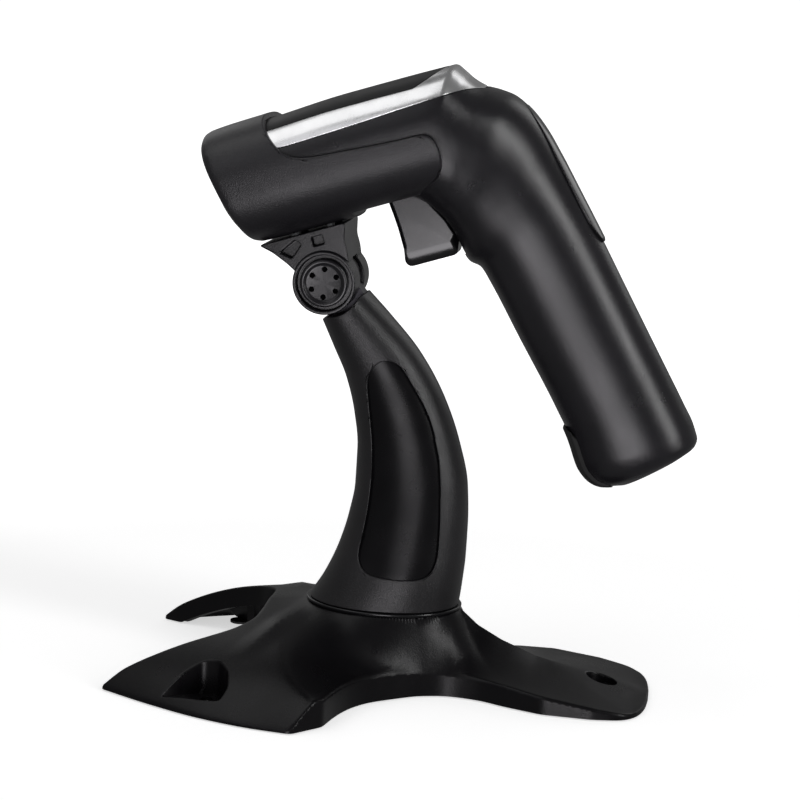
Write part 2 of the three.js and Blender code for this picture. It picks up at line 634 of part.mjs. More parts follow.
const backInsert = () => loft(SCANNER).intersect(sidePrism(backInsertBand(1), -INSERT_HALF, INSERT_HALF))
  .intersect(sidePrism([[60, 44], [110, 52], [120, -13.4], [60, -13.4]], -30, 30));

const portCover = () => {
  const outer = loft(SCANNER).intersect(sidePrism(PORT_COVER_LINE, -8, 8));
  return cut(outer, loft(inset(SCANNER, 1.8)));
};

const TRIGGER = [[30.2, 24.5], [30.9, 17], [31.2, 11.8], [31.2, 3.2], [30.3, -1.3], [31.8, -3.2],
  [50.4, -3.2], [53, 3], [51, 11], [46.6, 19], [41.5, 25.5], [38.4, 30.2], [35, 31.8], [31.8, 30.2],
  [31.2, 27.4]];

const trigger = () => cut(sidePrism(TRIGGER, -TRIGGER_HALF, TRIGGER_HALF),
  crossBar(TRIGGER_PIVOT.u, TRIGGER_PIVOT.v, 1.75, -20, 20, 14));

const triggerPin = () => crossBar(TRIGGER_PIVOT.u, TRIGGER_PIVOT.v, 1.5, -14, 14, 14);

const triggerSpring = () => {
  const coil = new THREE.Curve();
  coil.getPoint = (t) => {
    const angle = t * 2 * Math.PI * 4.5;
    return new THREE.Vector3(t * 6.4, 2.3 * Math.cos(angle), 2.3 * Math.sin(angle));
  };
  const wire = new THREE.Shape();
  wire.absarc(0, 0, 0.4, 0, 2 * Math.PI);
  const geometry = new THREE.ExtrudeGeometry(wire, { extrudePath: coil, steps: 36, curveSegments: 2 });
  return solid(geometry.translate(54.6, 0, 12));
};

// ---------------------------------------------------------------- electronics

const boardParts = {
  main_board: () => cut(box(2, 66, -24, 24, 47, 48.6), box(28, 40, -4, 4, 40, 50)),
  scan_engine: () => box(-8, 14, -14, 14, 35.5, 45.5),
  engine_lens: () => lengthBar(0, 40.5, 4.6, -12, -8.3),
  decoder_chip: () => box(44, 58, -7, 7, 48.9, 50.3),
  ribbon_connector: () => box(16, 22, -8, 8, 44.2, 46.7),
  beeper: () => uprightBar(56, 14, 5.5, 42, 46.7, 20),
  trigger_switch: () => box(61.4, 67.4, -4, 4, 8.5, 15.5),
};

// ---------------------------------------------------------------- grip contents

const gripGroup = new THREE.Group();
gripGroup.position.set(GRIP.u, 0, GRIP.v);
gripGroup.rotation.y = -THREE.MathUtils.degToRad(GRIP.lean);

const battery = () => uprightBar(0, 0, 9.2, -26, 40, 24);

const dataPort = () => cut(box(-4.8, 4.8, -6.4, 6.4, -56, -50), box(-1.8, 1.8, -4.6, 4.6, -80, -53));

// ---------------------------------------------------------------- placing every piece

place(standGroup, "base_shell", baseShell(), BASE_BLACK());
place(standGroup, "ballast_plate", ballastPlate(), STEEL());
for (const [where, [x, y]] of Object.entries(FOOT_PLACES)) {
  place(standGroup, `foot_${where}`, uprightBar(x, y, FOOT_RADIUS, 0, FOOT_HEIGHT, 20), RUBBER());
}
place(standGroup, "pillar_left", pillarHalf(1), MATTE_BLACK());
place(standGroup, "pillar_right", pillarHalf(-1), MATTE_BLACK());
place(standGroup, "pillar_inlay_left", pillarInlay(1), GLOSS_BLACK());
place(standGroup, "pillar_inlay_right", pillarInlay(-1), GLOSS_BLACK());
place(standGroup, "pillar_foot_ring", footRing(), GLOSS_BLACK());
NECK_SCREWS.forEach((spot, i) => place(standGroup, `neck_screw_${i + 1}`, neckScrew(spot), STEEL()));
PILLAR_SCREWS.forEach((spot, i) => place(standGroup, `pillar_screw_${i + 1}`, pillarScrew(spot), STEEL()));
place(standGroup, "pivot_tongue", pivotTongue(), STEEL());

place(headGroup, "holder_cup", holderCup(), GRAINED_BLACK());
place(headGroup, "holder_bracket", holderBracket(), GLOSS_BLACK());
for (const [where, spot] of Object.entries(CUP_SCREWS)) {
  place(headGroup, `cup_screw_${where}`, cupScrew(spot), STEEL());
}
place(headGroup, "pivot_bolt", pivotBolt(), STEEL());
place(headGroup, "pivot_washer_left", pivotWasher(1), STEEL());
place(headGroup, "pivot_washer_right", pivotWasher(-1), STEEL());
place(headGroup, "pivot_cap", knobDisc(DRUM_HALF + 0.1, KNOB_THICK, 1), GLOSS_BLACK());
place(headGroup, "tilt_knob", knobDisc(DRUM_HALF + 0.1, KNOB_THICK, -1), GLOSS_BLACK());

place(headGroup, "scanner_body_left", scannerHalf(1), MATTE_BLACK());
place(headGroup, "scanner_body_right", scannerHalf(-1), MATTE_BLACK());
place(headGroup, "chrome_trim", chromeTrim(), CHROME());
place(headGroup, "top_panel", topPanel(), GLOSS_BLACK());
place(headGroup, "nose_bezel", noseBezel(), MATTE_BLACK());
place(headGroup, "scan_window", scanWindow(), DARK_GLASS());
place(headGroup, "back_insert", backInsert(), GLOSS_BLACK());
place(headGroup, "port_cover", portCover(), RUBBER());
place(headGroup, "trigger", trigger(), GLOSS_BLACK());
place(headGroup, "trigger_pin", triggerPin(), STEEL());
place(headGroup, "trigger_spring", triggerSpring(), STEEL());

const boardMaterials = {
  main_board: BOARD_GREEN, scan_engine: STEEL, engine_lens: LENS_GLASS, decoder_chip: GLOSS_BLACK,
  ribbon_connector: GLOSS_BLACK, beeper: GLOSS_BLACK, trigger_switch: GLOSS_BLACK,
};
for (const [name, make] of Object.entries(boardParts)) {
  place(headGroup, name, make(), boardMaterials[name]());
}
for (const [where, [u, v]] of Object.entries(BODY_SCREWS)) {
  place(headGroup, `body_screw_${where}`, crossBar(u, v, 1.2, -9, 9, 10), STEEL());
}
headGroup.add(gripGroup);
place(gripGroup, "battery", battery(), BATTERY_GREY());
place(gripGroup, "data_port", dataPort(), STEEL());

export default scanner_and_stand;
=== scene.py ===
import math

import bmesh
import bpy
import numpy as np
from mathutils import Matrix, Vector
from mathutils.geometry import delaunay_2d_cdt


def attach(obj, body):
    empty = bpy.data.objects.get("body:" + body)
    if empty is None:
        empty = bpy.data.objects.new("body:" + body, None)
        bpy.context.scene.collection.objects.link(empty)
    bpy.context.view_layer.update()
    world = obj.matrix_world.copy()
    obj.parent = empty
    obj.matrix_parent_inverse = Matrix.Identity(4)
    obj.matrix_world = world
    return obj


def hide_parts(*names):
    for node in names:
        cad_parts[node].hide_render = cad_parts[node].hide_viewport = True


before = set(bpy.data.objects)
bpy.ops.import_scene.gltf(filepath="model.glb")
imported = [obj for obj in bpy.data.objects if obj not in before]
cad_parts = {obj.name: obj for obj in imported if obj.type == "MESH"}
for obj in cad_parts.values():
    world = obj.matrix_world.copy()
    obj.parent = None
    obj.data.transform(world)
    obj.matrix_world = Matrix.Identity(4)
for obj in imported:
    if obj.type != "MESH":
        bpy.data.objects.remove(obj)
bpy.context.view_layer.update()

# ---------------------------------------------------------------- places, in millimetres

MM = 0.001
PILLAR_X = -8.87                    # pillar centre in the row frame
HINGE_X, HINGE_Z = -35.92, 155.8
TILT = math.radians(18.66)          # slope of the barrel

TO_STAND = Matrix.Translation((PILLAR_X * MM, 0, 0))
TO_HEAD = Matrix.Translation((HINGE_X * MM, 0, HINGE_Z * MM)) @ Matrix.Rotation(-TILT, 4, "Y")

# ---------------------------------------------------------------- curves and sections


def pchip(t, values, at):
    """Smooth curve through values at t that never overshoots them."""
    values = np.asarray(values, float)
    h = np.diff(t)
    slope = np.diff(values, axis=0) / h[:, None]
    tangent = np.zeros_like(values)
    before, after = slope[:-1], slope[1:]
    same = before * after > 0
    w1, w2 = (2 * h[1:] + h[:-1])[:, None], (h[1:] + 2 * h[:-1])[:, None]
    with np.errstate(divide="ignore", invalid="ignore"):
        mean = (w1 + w2) / (w1 / before + w2 / after)
    tangent[1:-1] = np.where(same, mean, 0)
    tangent[0], tangent[-1] = slope[0], slope[-1]
    i = np.clip(np.searchsorted(t, at, side="right") - 1, 0, len(t) - 2)
    x = ((at - t[i]) / h[i])[:, None]
    step = h[i][:, None]
    return (
        values[i] * (2 * x**3 - 3 * x**2 + 1)
        + tangent[i] * step * (x**3 - 2 * x**2 + x)
        + values[i + 1] * (3 * x**2 - 2 * x**3)
        + tangent[i + 1] * step * (x**3 - x**2)
    )


def spread(length, spacing):
    """Even steps from nought to a length."""
    return np.linspace(0, length, max(2, int(round(length / spacing)) + 1))


def through(points, spacing=1.0):
    """Even points along a smooth open curve through the given ones."""
    points = np.asarray(points, float)
    t = np.concatenate([[0], np.cumsum(np.linalg.norm(np.diff(points, axis=0), axis=1))])
    return pchip(t, points, spread(t[-1], spacing))


def even_loop(points, spacing):
    """A closed outline walked in even steps."""
    points = np.vstack([points, points[:1]])
    t = np.concatenate([[0], np.cumsum(np.linalg.norm(np.diff(points, axis=0), axis=1))])
    at = spread(t[-1], spacing)[:-1]
    return np.column_stack([np.interp(at, t, points[:, k]) for k in range(points.shape[1])])


def softened(points, spacing=1.0, passes=3):
    """A closed outline in even steps with its corners rounded."""
    loop = even_loop(np.asarray(points, float), spacing)
    for _ in range(passes):
        loop = loop / 2 + (np.roll(loop, 1, axis=0) + np.roll(loop, -1, axis=0)) / 4
    return loop


def mirrored(points):
    """An open outline joined to its mirror image."""
    points = np.asarray(points, float)
    return np.vstack([points, (points * [1, -1])[::-1]])


def signed_area(loop):
    x, y = loop[:, 0], loop[:, 1]
    return 0.5 * np.sum(x * np.roll(y, -1) - np.roll(x, -1) * y)


def offset_loop(loop, by):
    """A closed outline moved inwards by a distance."""
    tangent = np.roll(loop, -1, axis=0) - np.roll(loop, 1, axis=0)
    tangent /= np.linalg.norm(tangent, axis=1)[:, None]
    inward = np.column_stack([-tangent[:, 1], tangent[:, 0]]) * np.sign(signed_area(loop))
    return loop + inward * by


def to_segments(points, line, closed):
    """For each point, distance to a line of segments and which side of it the point is on."""
    a = line if closed else line[:-1]
    b = np.roll(line, -1, axis=0) if closed else line[1:]
    d = b - a
    rel = points[:, None, :] - a[None]
    t = np.clip((rel * d).sum(-1) / np.maximum((d * d).sum(-1), 1e-12), 0, 1)
    gap = np.linalg.norm(rel - t[..., None] * d, axis=-1)
    nearest = gap.argmin(1)
    row = np.arange(len(points))
    side = d[nearest, 1] * rel[row, nearest, 0] - d[nearest, 0] * rel[row, nearest, 1]
    return gap[row, nearest], np.where(side < 0, -1.0, 1.0)


def inside_distance(points, loop):
    """Distance to a closed outline, positive inside it."""
    gap, side = to_segments(points, loop, True)
    return gap * side * (-1 if signed_area(loop) > 0 else 1)


def sections(stations, spacing):
    """Rows of back x, back z, front x, front z, half-width and power, close together."""
    rows, power = [], 2.5
    for back, front, half, *rest in stations:
        power = rest[0] if rest else power
        rows.append([*back, *front, half, power])
    rows = np.asarray(rows, float)
    centre = (rows[:, 0:2] + rows[:, 2:4]) / 2
    reach = np.linalg.norm(np.diff(rows[:, 0:2], axis=0), axis=1)
    reach = (reach + np.linalg.norm(np.diff(centre, axis=0), axis=1)) / 2
    t = np.concatenate([[0], np.cumsum(np.maximum(reach, 0.2))])
    return pchip(t, rows, spread(t[-1], spacing))


def on_section(rows, angles):
    """Points of superellipse sections: rows (n, 6) and angles (n, m) give (n, m, 3)."""
    shape = rows[:, None, :]
    power = 2 / shape[..., 5]
    along = np.sign(np.cos(angles)) * np.abs(np.cos(angles)) ** power
    across = np.sign(np.sin(angles)) * np.abs(np.sin(angles)) ** power
    x = (shape[..., 0] + shape[..., 2]) / 2 + (shape[..., 0] - shape[..., 2]) / 2 * along
    z = (shape[..., 1] + shape[..., 3]) / 2 + (shape[..., 1] - shape[..., 3]) / 2 * along
    return np.stack([x, shape[..., 4] * across, z], axis=-1)


def inset_rows(rows, by):
    """The same sections, each drawn in all round."""
    out = rows.copy()
    d = rows[:, 2:4] - rows[:, 0:2]
    d = d / np.linalg.norm(d, axis=1)[:, None] * by
    out[:, 0:2] += d
    out[:, 2:4] -= d
    out[:, 4] -= by
    return out


# ---------------------------------------------------------------- meshes


def new_object(name, points, faces):
    mesh = bpy.data.meshes.new(name)
    mesh.from_pydata([tuple(p) for p in np.asarray(points, float) * MM], [], faces)
    mesh.validate()
    obj = bpy.data.objects.new(name, mesh)
    bpy.context.scene.collection.objects.link(obj)
    return obj


def tidy_mesh(obj, merge=2e-7):
    """Merges points that coincide and turns the faces outwards."""
    bm = bmesh.new()
    bm.from_mesh(obj.data)
    bmesh.ops.remove_doubles(bm, verts=bm.verts, dist=merge)
    bmesh.ops.dissolve_degenerate(bm, edges=bm.edges, dist=merge)
    bmesh.ops.recalc_face_normals(bm, faces=bm.faces)
    bm.to_mesh(obj.data)
    bm.free()
    return obj


def grid_faces(rows, columns, wrap, start=0):
    """Quads between neighbouring rows of points."""
    i, j = np.meshgrid(np.arange(rows - 1), np.arange(columns if wrap else columns - 1), indexing="ij")
    k = (j + 1) % columns
    quads = np.stack([i * columns + j, i * columns + k, (i + 1) * columns + k, (i + 1) * columns + j], -1)
    return (quads.reshape(-1, 4) + start).tolist()


def loft(name, rows, sides=96):
    """Closed body through a row of sections."""
    angles = np.broadcast_to(even_angles(sides), (len(rows), sides))
    points = on_section(rows, angles).reshape(-1, 3)
    faces = grid_faces(len(rows), sides, True)
    faces.append(list(range(sides)))
    faces.append(list(range((len(rows) - 1) * sides, len(rows) * sides)))
    return tidy_mesh(new_object(name, points, faces))


def even_angles(sides, power=2.6):
    """Angles that step evenly round a superellipse."""
    fine = np.linspace(0, 2 * np.pi, 1441)
    x = np.sign(np.cos(fine)) * np.abs(np.cos(fine)) ** (2 / power)
    y = np.sign(np.sin(fine)) * np.abs(np.sin(fine)) ** (2 / power)
    t = np.concatenate([[0], np.cumsum(np.hypot(np.diff(x), np.diff(y)))])
    return np.interp(np.linspace(0, t[-1], sides, endpoint=False), t, fine)


def prism(outline, low, high, axis):
    """Outline extruded along Y (outline in X-Z) or Z (outline in X-Y)."""
    outline = np.asarray(outline, float)
    n = len(outline)
    if axis == "Y":
        ends = [np.column_stack([outline[:, 0], np.full(n, level), outline[:, 1]]) for level in (low, high)]
    else:
        ends = [np.column_stack([outline, np.full(n, level)]) for level in (low, high)]
    faces = [[i, (i + 1) % n, n + (i + 1) % n, n + i] for i in range(n)]
    faces += [list(range(n)), list(range(n, 2 * n))]
    return tidy_mesh(new_object("tool", np.vstack(ends), faces))


def circle(x, y, radius, sides=48):
    turn = np.linspace(0, 2 * np.pi, sides, endpoint=False)
    return np.column_stack([x + radius * np.cos(turn), y + radius * np.sin(turn)])


def bar(x, z, radius, low, high, sides=64):
    return prism(circle(x, z, radius, sides), low, high, "Y")


def block(x0, x1, y0, y1, z0, z1):
    return prism([[x0, z0], [x1, z0], [x1, z1], [x0, z1]], y0, y1, "Y")


def lathe(profile, sides=96):
    """A profile of radius and Y turned about the Y axis, closed on the axis."""
    profile = np.asarray(profile, float)
    turn = np.linspace(0, 2 * np.pi, sides, endpoint=False)
    rings = [np.column_stack([r * np.cos(turn), np.full(sides, y), r * np.sin(turn)]) for r, y in profile]
    faces = grid_faces(len(profile), sides, True)
    faces += [list(range(sides)), list(range((len(profile) - 1) * sides, len(profile) * sides))]
    return tidy_mesh(new_object("turned", np.vstack(rings), faces))


def baked(obj):
    """The object with its modifiers applied."""
    graph = bpy.context.evaluated_depsgraph_get()
    mesh = bpy.data.meshes.new_from_object(obj.evaluated_get(graph))
    obj.modifiers.clear()
    old = obj.data
    obj.data = mesh
    bpy.data.meshes.remove(old)
    return obj


def carve(obj, *tools, how="DIFFERENCE"):
    """Cuts the tools out of the object, or keeps or adds what they share, and removes them."""
    for tool in tools:
        step = obj.modifiers.new("cut", "BOOLEAN")
        step.operation, step.solver, step.object = how, "EXACT", tool
    baked(obj)
    for tool in tools:
        bpy.data.objects.remove(tool)
    return obj


def soften_edges(obj, width, segments=3, angle=32):
    """Rounds the sharp edges by a width in millimetres."""
    tidy_mesh(obj, 2e-6)
    step = obj.modifiers.new("round", "BEVEL")
    step.width, step.segments = width * MM, segments
    step.limit_method, step.angle_limit = "ANGLE", math.radians(angle)
    step.use_clamp_overlap, step.miter_outer = False, "MITER_ARC"
    return baked(obj)


def finish_piece(obj, name, body, slot, material, *replaced, place=None, sharp=50):
    """Names, smooths, paints and hangs a piece on its body."""
    if place is not None:
        obj.data.transform(place)
    obj.name = obj.data.name = name
    obj.data.shade_smooth()
    obj.data.set_sharp_from_angle(angle=math.radians(sharp))
    level = obj.modifiers.new("even_normals", "WEIGHTED_NORMAL")
    level.keep_sharp, level.weight = True, 60
    obj.data.materials.clear()
    obj.data.materials.append(material)
    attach(obj, body)
    if replaced:
        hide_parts(*replaced)
    return obj


# ---------------------------------------------------------------- materials


def nodes_of(name):
    material = bpy.data.materials.new(name)
    material.use_nodes = True
    tree = material.node_tree
    return material, tree.nodes, tree.links, tree.nodes["Principled BSDF"]


def noise(nodes, links, where, scale, detail=2.0, roughness=0.5):
    node = nodes.new("ShaderNodeTexNoise")
    node.inputs["Scale"].default_value = scale
    node.inputs["Detail"].default_value = detail
    node.inputs["Roughness"].default_value = roughness
    links.new(where, node.inputs["Vector"])
    return node.outputs["Fac"]


def ramp(nodes, links, value, low, high, first, second):
    node = nodes.new("ShaderNodeMapRange")
    for socket, number in zip(("From Min", "From Max", "To Min", "To Max"), (low, high, first, second)):
        node.inputs[socket].default_value = number
    links.new(value, node.inputs["Value"])
    return node.outputs["Result"]


def mixed(nodes, links, factor, first, second):
    node = nodes.new("ShaderNodeMix")
    node.data_type = "RGBA"
    node.inputs[6].default_value = (*first, 1)
    node.inputs[7].default_value = (*second, 1)
    links.new(factor, node.inputs[0])
    return node.outputs[2]


def bump(nodes, links, height, distance, strength, shader, after=None):
    node = nodes.new("ShaderNodeBump")
    node.inputs["Distance"].default_value = distance
    node.inputs["Strength"].default_value = strength
    links.new(height, node.inputs["Height"])
    if after is not None:
        links.new(after, node.inputs["Normal"])
    links.new(node.outputs["Normal"], shader.inputs["Normal"])
    return node.outputs["Normal"]


def plastic(name, dark, light, rough, grain, depth, specular=0.5, coat=0.0, wear=0.04):
    """Moulded plastic: fine spark-eroded grain, slight shine variation and faint dust tone."""
    material, nodes, links, shader = nodes_of(name)
    where = nodes.new("ShaderNodeTexCoord").outputs["Object"]
    tone = noise(nodes, links, where, 38, 4, 0.6)
    links.new(mixed(nodes, links, ramp(nodes, links, tone, 0.35, 0.65, 0, 1), dark, light),
              shader.inputs["Base Color"])
    cloud = noise(nodes, links, where, 60, 5, 0.65)
    links.new(ramp(nodes, links, cloud, 0.3, 0.7, rough - wear, rough + wear), shader.inputs["Roughness"])
    shader.inputs["Specular IOR Level"].default_value = specular
    shader.inputs["Coat Weight"].default_value = coat
    shader.inputs["Coat Roughness"].default_value = 0.08
    if depth:
        fine = noise(nodes, links, where, grain, 3, 0.6)
        grained = bump(nodes, links, fine, 0.0002, depth, shader)
        broad = noise(nodes, links, where, grain * 0.5, 2, 0.5)
        bump(nodes, links, broad, 0.0002, depth * 0.15, shader, grained)
    return material


def metal(name, colour, rough, streak=600, depth=0.05):
    """Metal with faint machining marks and uneven polish."""
    material, nodes, links, shader = nodes_of(name)
    where = nodes.new("ShaderNodeTexCoord").outputs["Object"]
    shader.inputs["Metallic"].default_value = 1.0
    tone = noise(nodes, links, where, 120, 3)
    darker = tuple(c * 0.86 for c in colour)
    links.new(mixed(nodes, links, tone, darker, colour), shader.inputs["Base Color"])
    links.new(ramp(nodes, links, noise(nodes, links, where, 200, 4), 0.3, 0.7, rough * 0.8, rough * 1.2),
              shader.inputs["Roughness"])
    bump(nodes, links, noise(nodes, links, where, streak, 2), 0.0001, depth, shader)
    return material


BASE = plastic("base_satin", (0.003, 0.0027, 0.0034), (0.0045, 0.0041, 0.005), 0.30, 1900, 0.3, 0.22)
PILLAR = plastic("pillar_grain", (0.009, 0.0085, 0.0095), (0.014, 0.0132, 0.0148), 0.36, 2000, 0.6)
GRAIN = plastic("cup_grain", (0.012, 0.0112, 0.0135), (0.016, 0.015, 0.018), 0.35, 2200, 0.5)
SATIN = plastic("scanner_satin", (0.009, 0.0085, 0.0105), (0.013, 0.0122, 0.0148), 0.245, 2400, 0.4)
PANEL = plastic("panel_black", (0.006, 0.006, 0.007), (0.009, 0.009, 0.010), 0.42, 1200, 0.10, 0.25)
# near-black and matt: painted shade for the bottoms of the hinge discs' blind holes
PAINTED_HOLE_SHADE = plastic("hole_shade", (0.001, 0.001, 0.001), (0.0016, 0.0016, 0.0018), 0.85, 1200, 0.05, 0.04)
GLOSS = plastic("gloss_black", (0.005, 0.005, 0.006), (0.008, 0.008, 0.009), 0.18, 900, 0.03)
INLAY = plastic("inlay_gloss", (0.0025, 0.0023, 0.003), (0.004, 0.0037, 0.0046), 0.26, 1400, 0.05, 0.22)
KNOB = plastic("knob_black", (0.006, 0.0056, 0.007), (0.009, 0.0084, 0.0105), 0.25, 1600, 0.10)
BOARD = plastic("board_green", (0.010, 0.060, 0.022), (0.014, 0.085, 0.030), 0.42, 700, 0.08)
COMPONENT = plastic("component_black", (0.012, 0.012, 0.013), (0.020, 0.020, 0.022), 0.50, 1200, 0.12)
BATTERY = plastic("battery_wrap", (0.10, 0.11, 0.12), (0.13, 0.14, 0.15), 0.35, 500, 0.04)
RUBBER = plastic("rubber", (0.010, 0.010, 0.010), (0.018, 0.018, 0.018), 0.72, 1000, 0.30)
WINDOW = plastic("window_glass", (0.020, 0.002, 0.004), (0.030, 0.003, 0.006), 0.05, 400, 0.0,
                 coat=0.6, wear=0.01)
LENS = plastic("lens_glass", (0.010, 0.014, 0.020), (0.015, 0.020, 0.030), 0.05, 400, 0.0,
               coat=0.8, wear=0.01)
BLACKENED = metal("blackened_steel", (0.035, 0.034, 0.038), 0.36)
CHROME = metal("bright_trim", (0.92, 0.92, 0.93), 0.24, 400, 0.02)
STEEL = metal("steel", (0.46, 0.47, 0.49), 0.34)

# ---------------------------------------------------------------- base

OUTER_EDGE = [[-99.6, 52.7], [-77, 67], [-55.6, 78], [-35.8, 84.3], [-20.7, 86.7]]
ARCH_EDGE = [[-11, 75], [-8.5, 62], [-5.5, 52], [0, 42], [10, 32.5], [20, 25.5], [30, 23], [40, 24.5],
             [52, 30], [66, 35.6]]
REAR_EDGE = [[85, 36.5], [96, 34], [102, 27], [104.8, 15], [105.5, 5]]
NOTCH_EDGE = [[-46, 10], [-47, 22], [-53, 33], [-60, 38], [-70, 42.5], [-80, 46], [-92, 49]]
POCKET = [[-73, 66.5], [-66, 59.5], [-59.5, 55.5], [-53.5, 56.5], [-49, 62.5], [-47.5, 70], [-49.5, 74.5],
          [-57, 72.5]]
SPINE_TOP = [[30.1, 29.6], [37.5, 23.6], [47.2, 18.5], [61.3, 13.1], [75.4, 9.6], [86.4, 6.8], [104, 2.6]]
ARCH_TOP = [[-11, 10.8], [10, 11], [20, 10.1], [30, 9.3], [52, 8.7], [66, 7.3], [85, 4.8], [100, 2.4]]
FOLD = [[-26, 6.5], [-27.8, 11], [-33, 23], [-39, 39.5], [-46, 56]]
RIM_A, RIM_B, RIM_Z = 30.1, 24.9, 30   # half-length, half-width and height of the neck rim
RIM_MEAN = 27                          # one radius that stands for both, to measure from the rim
POCKET_FLOOR = 3.2
SHELL_BOTTOM = 0.5
WALL = 2.4
SCREW_HOLES = [[-56.5, 62.4], [-56.5, -62.4], [87, 0]]

notch_line, outer_line = through(NOTCH_EDGE), through(OUTER_EDGE)
arch_line, rear_line = through(ARCH_EDGE), through(REAR_EDGE)
side_line = np.vstack([arch_line, rear_line])
fold_line = through(FOLD, 1.0)
spine_line = np.column_stack([np.arange(31, 80, 1.0), np.zeros(49)])
base_loop = softened(mirrored(np.vstack([notch_line, outer_line, arch_line, rear_line])), 1.0, 3)
pocket_loop = softened(POCKET, 0.7, 4)
pockets = [pocket_loop, pocket_loop * [1, -1], circle(87, 0, 6, 40)]
holes = [circle(x, y, 2.4, 20) for x, y in SCREW_HOLES]


def rise(points, line):
    """How far each point is in from an edge, on the side of the base."""
    gap, side = to_segments(points, line, False)
    return np.maximum(-10, gap * side)


def soft_min(values, softness):
    """The lowest of several heights, with the creases between them rounded."""
    stack = np.stack(values)
    low = stack.min(0)
    return low - softness * np.log(np.exp(-(stack - low) / softness).sum(0))


def plain_top(points):
    """The base's upper surface without its pockets: flowing from the edges up to the neck and spine."""
    x, side = points[:, 0], np.abs(points[:, 1])
    half = np.column_stack([x, side])
    beyond = np.maximum(0, np.hypot(x / RIM_A, side / RIM_B) - 1) * RIM_MEAN
    core = np.minimum(beyond, np.hypot(np.maximum(0, 25 - x), side))
    soft = 9 * np.clip((x - 66) / 16, 0, 1)
    core = (np.hypot(core, soft) - soft) * np.clip((x + 45) / 45, 0, 1)
    inward = np.maximum(0, rise(half, side_line))
    share = inward / (inward + core + 1e-6)
    low, high = (np.interp(x, *np.transpose(line)) for line in (ARCH_TOP, SPINE_TOP))
    arch = low + (high - low) * share**1.35
    gap, _ = to_segments(half, fold_line, False)
    crest = 1.7 * np.maximum(0, 1 - gap / 6.5) * np.clip((58 - side) / 30, 0, 1)
    flare = np.exp(-beyond / 7)
    front = (1.6 + 27 * (1 - np.exp(-rise(half, outer_line) / 25)) + crest) * (1 - flare) + RIM_Z * flare
    return soft_min([front, arch], 0.8) + 0.6 * np.exp(-beyond / 3)


def lower_edge(points):
    """Height of the shell's lower edge, which lifts round the front notch."""
    side = np.column_stack([points[:, 0], np.abs(points[:, 1])])
    gap, _ = to_segments(side, notch_line, False)
    near = (gap < 3.2) & (points[:, 0] < -44)
    return np.where(near, np.maximum(SHELL_BOTTOM, plain_top(points) - 8.5), SHELL_BOTTOM)


def rounded_down(distance, radius):
    """How far a rounded edge has dropped at a distance in from it."""
    left = np.clip(radius - distance, 0, None)
    return radius - np.sqrt(np.maximum(radius**2 - np.minimum(left, radius) ** 2, 0))


def base_height(points):
    """Height of the base's top, with its rounded rim and its flat-floored pockets."""
    top = plain_top(points)
    edge = np.maximum(0, inside_distance(points, base_loop))
    radius = np.clip(0.45 * (top - lower_edge(points)), 0.2, 1.3)
    top = top - rounded_down(edge, radius)
    for loop in pockets:
        depth = inside_distance(points, loop)
        floor = np.minimum(top, POCKET_FLOOR)
        lip = np.maximum(floor, top - rounded_down(np.maximum(0, -depth), 0.7))
        top = np.where(depth > 0.06, floor, lip)
    return top


def room_height(points):
    """Underside of the base's wall, lower where the screw bosses stand."""
    roof = plain_top(points) - WALL
    for loop in pockets:
        roof = np.where(inside_distance(points, loop) > -2, np.minimum(roof, POCKET_FLOOR - 2), roof)
    for loop in holes:
        boss = 6 if loop[:, 0].mean() < 0 else 8
        near = np.hypot(*(points - loop.mean(0)).T) < boss
        roof = np.where(near, SHELL_BOTTOM, roof)
    return np.maximum(roof, lower_edge(points) + 0.05)


def triangulated(outline, loose, loops=()):
    """Triangles that fill an outline, using loose points and following the inner loops."""
    points = [*map(tuple, outline)]
    edges = [(i, (i + 1) % len(outline)) for i in range(len(outline))]
    for loop in loops:
        start = len(points)
        points += [*map(tuple, loop)]
        edges += [(start + i, start + (i + 1) % len(loop)) for i in range(len(loop))]
    points += [*map(tuple, loose)]
    found = delaunay_2d_cdt(points, edges, [list(range(len(outline)))], 1, 1e-5)
    spots, faces = np.array(found[0])[:, :2], np.array(found[2])
    centres = spots[faces].mean(1)
    return spots, faces[inside_distance(centres, np.asarray(outline)) > 0]


def filled_grid(outline, spacing, margin):
    """Even points inside an outline, kept a margin away from it."""
    low, high = outline.min(0), outline.max(0)
    x, y = np.meshgrid(np.arange(low[0], high[0], spacing), np.arange(low[1], high[1], spacing))
    points = np.column_stack([x.ravel(), y.ravel()])
    return points[inside_distance(points, outline) > margin]


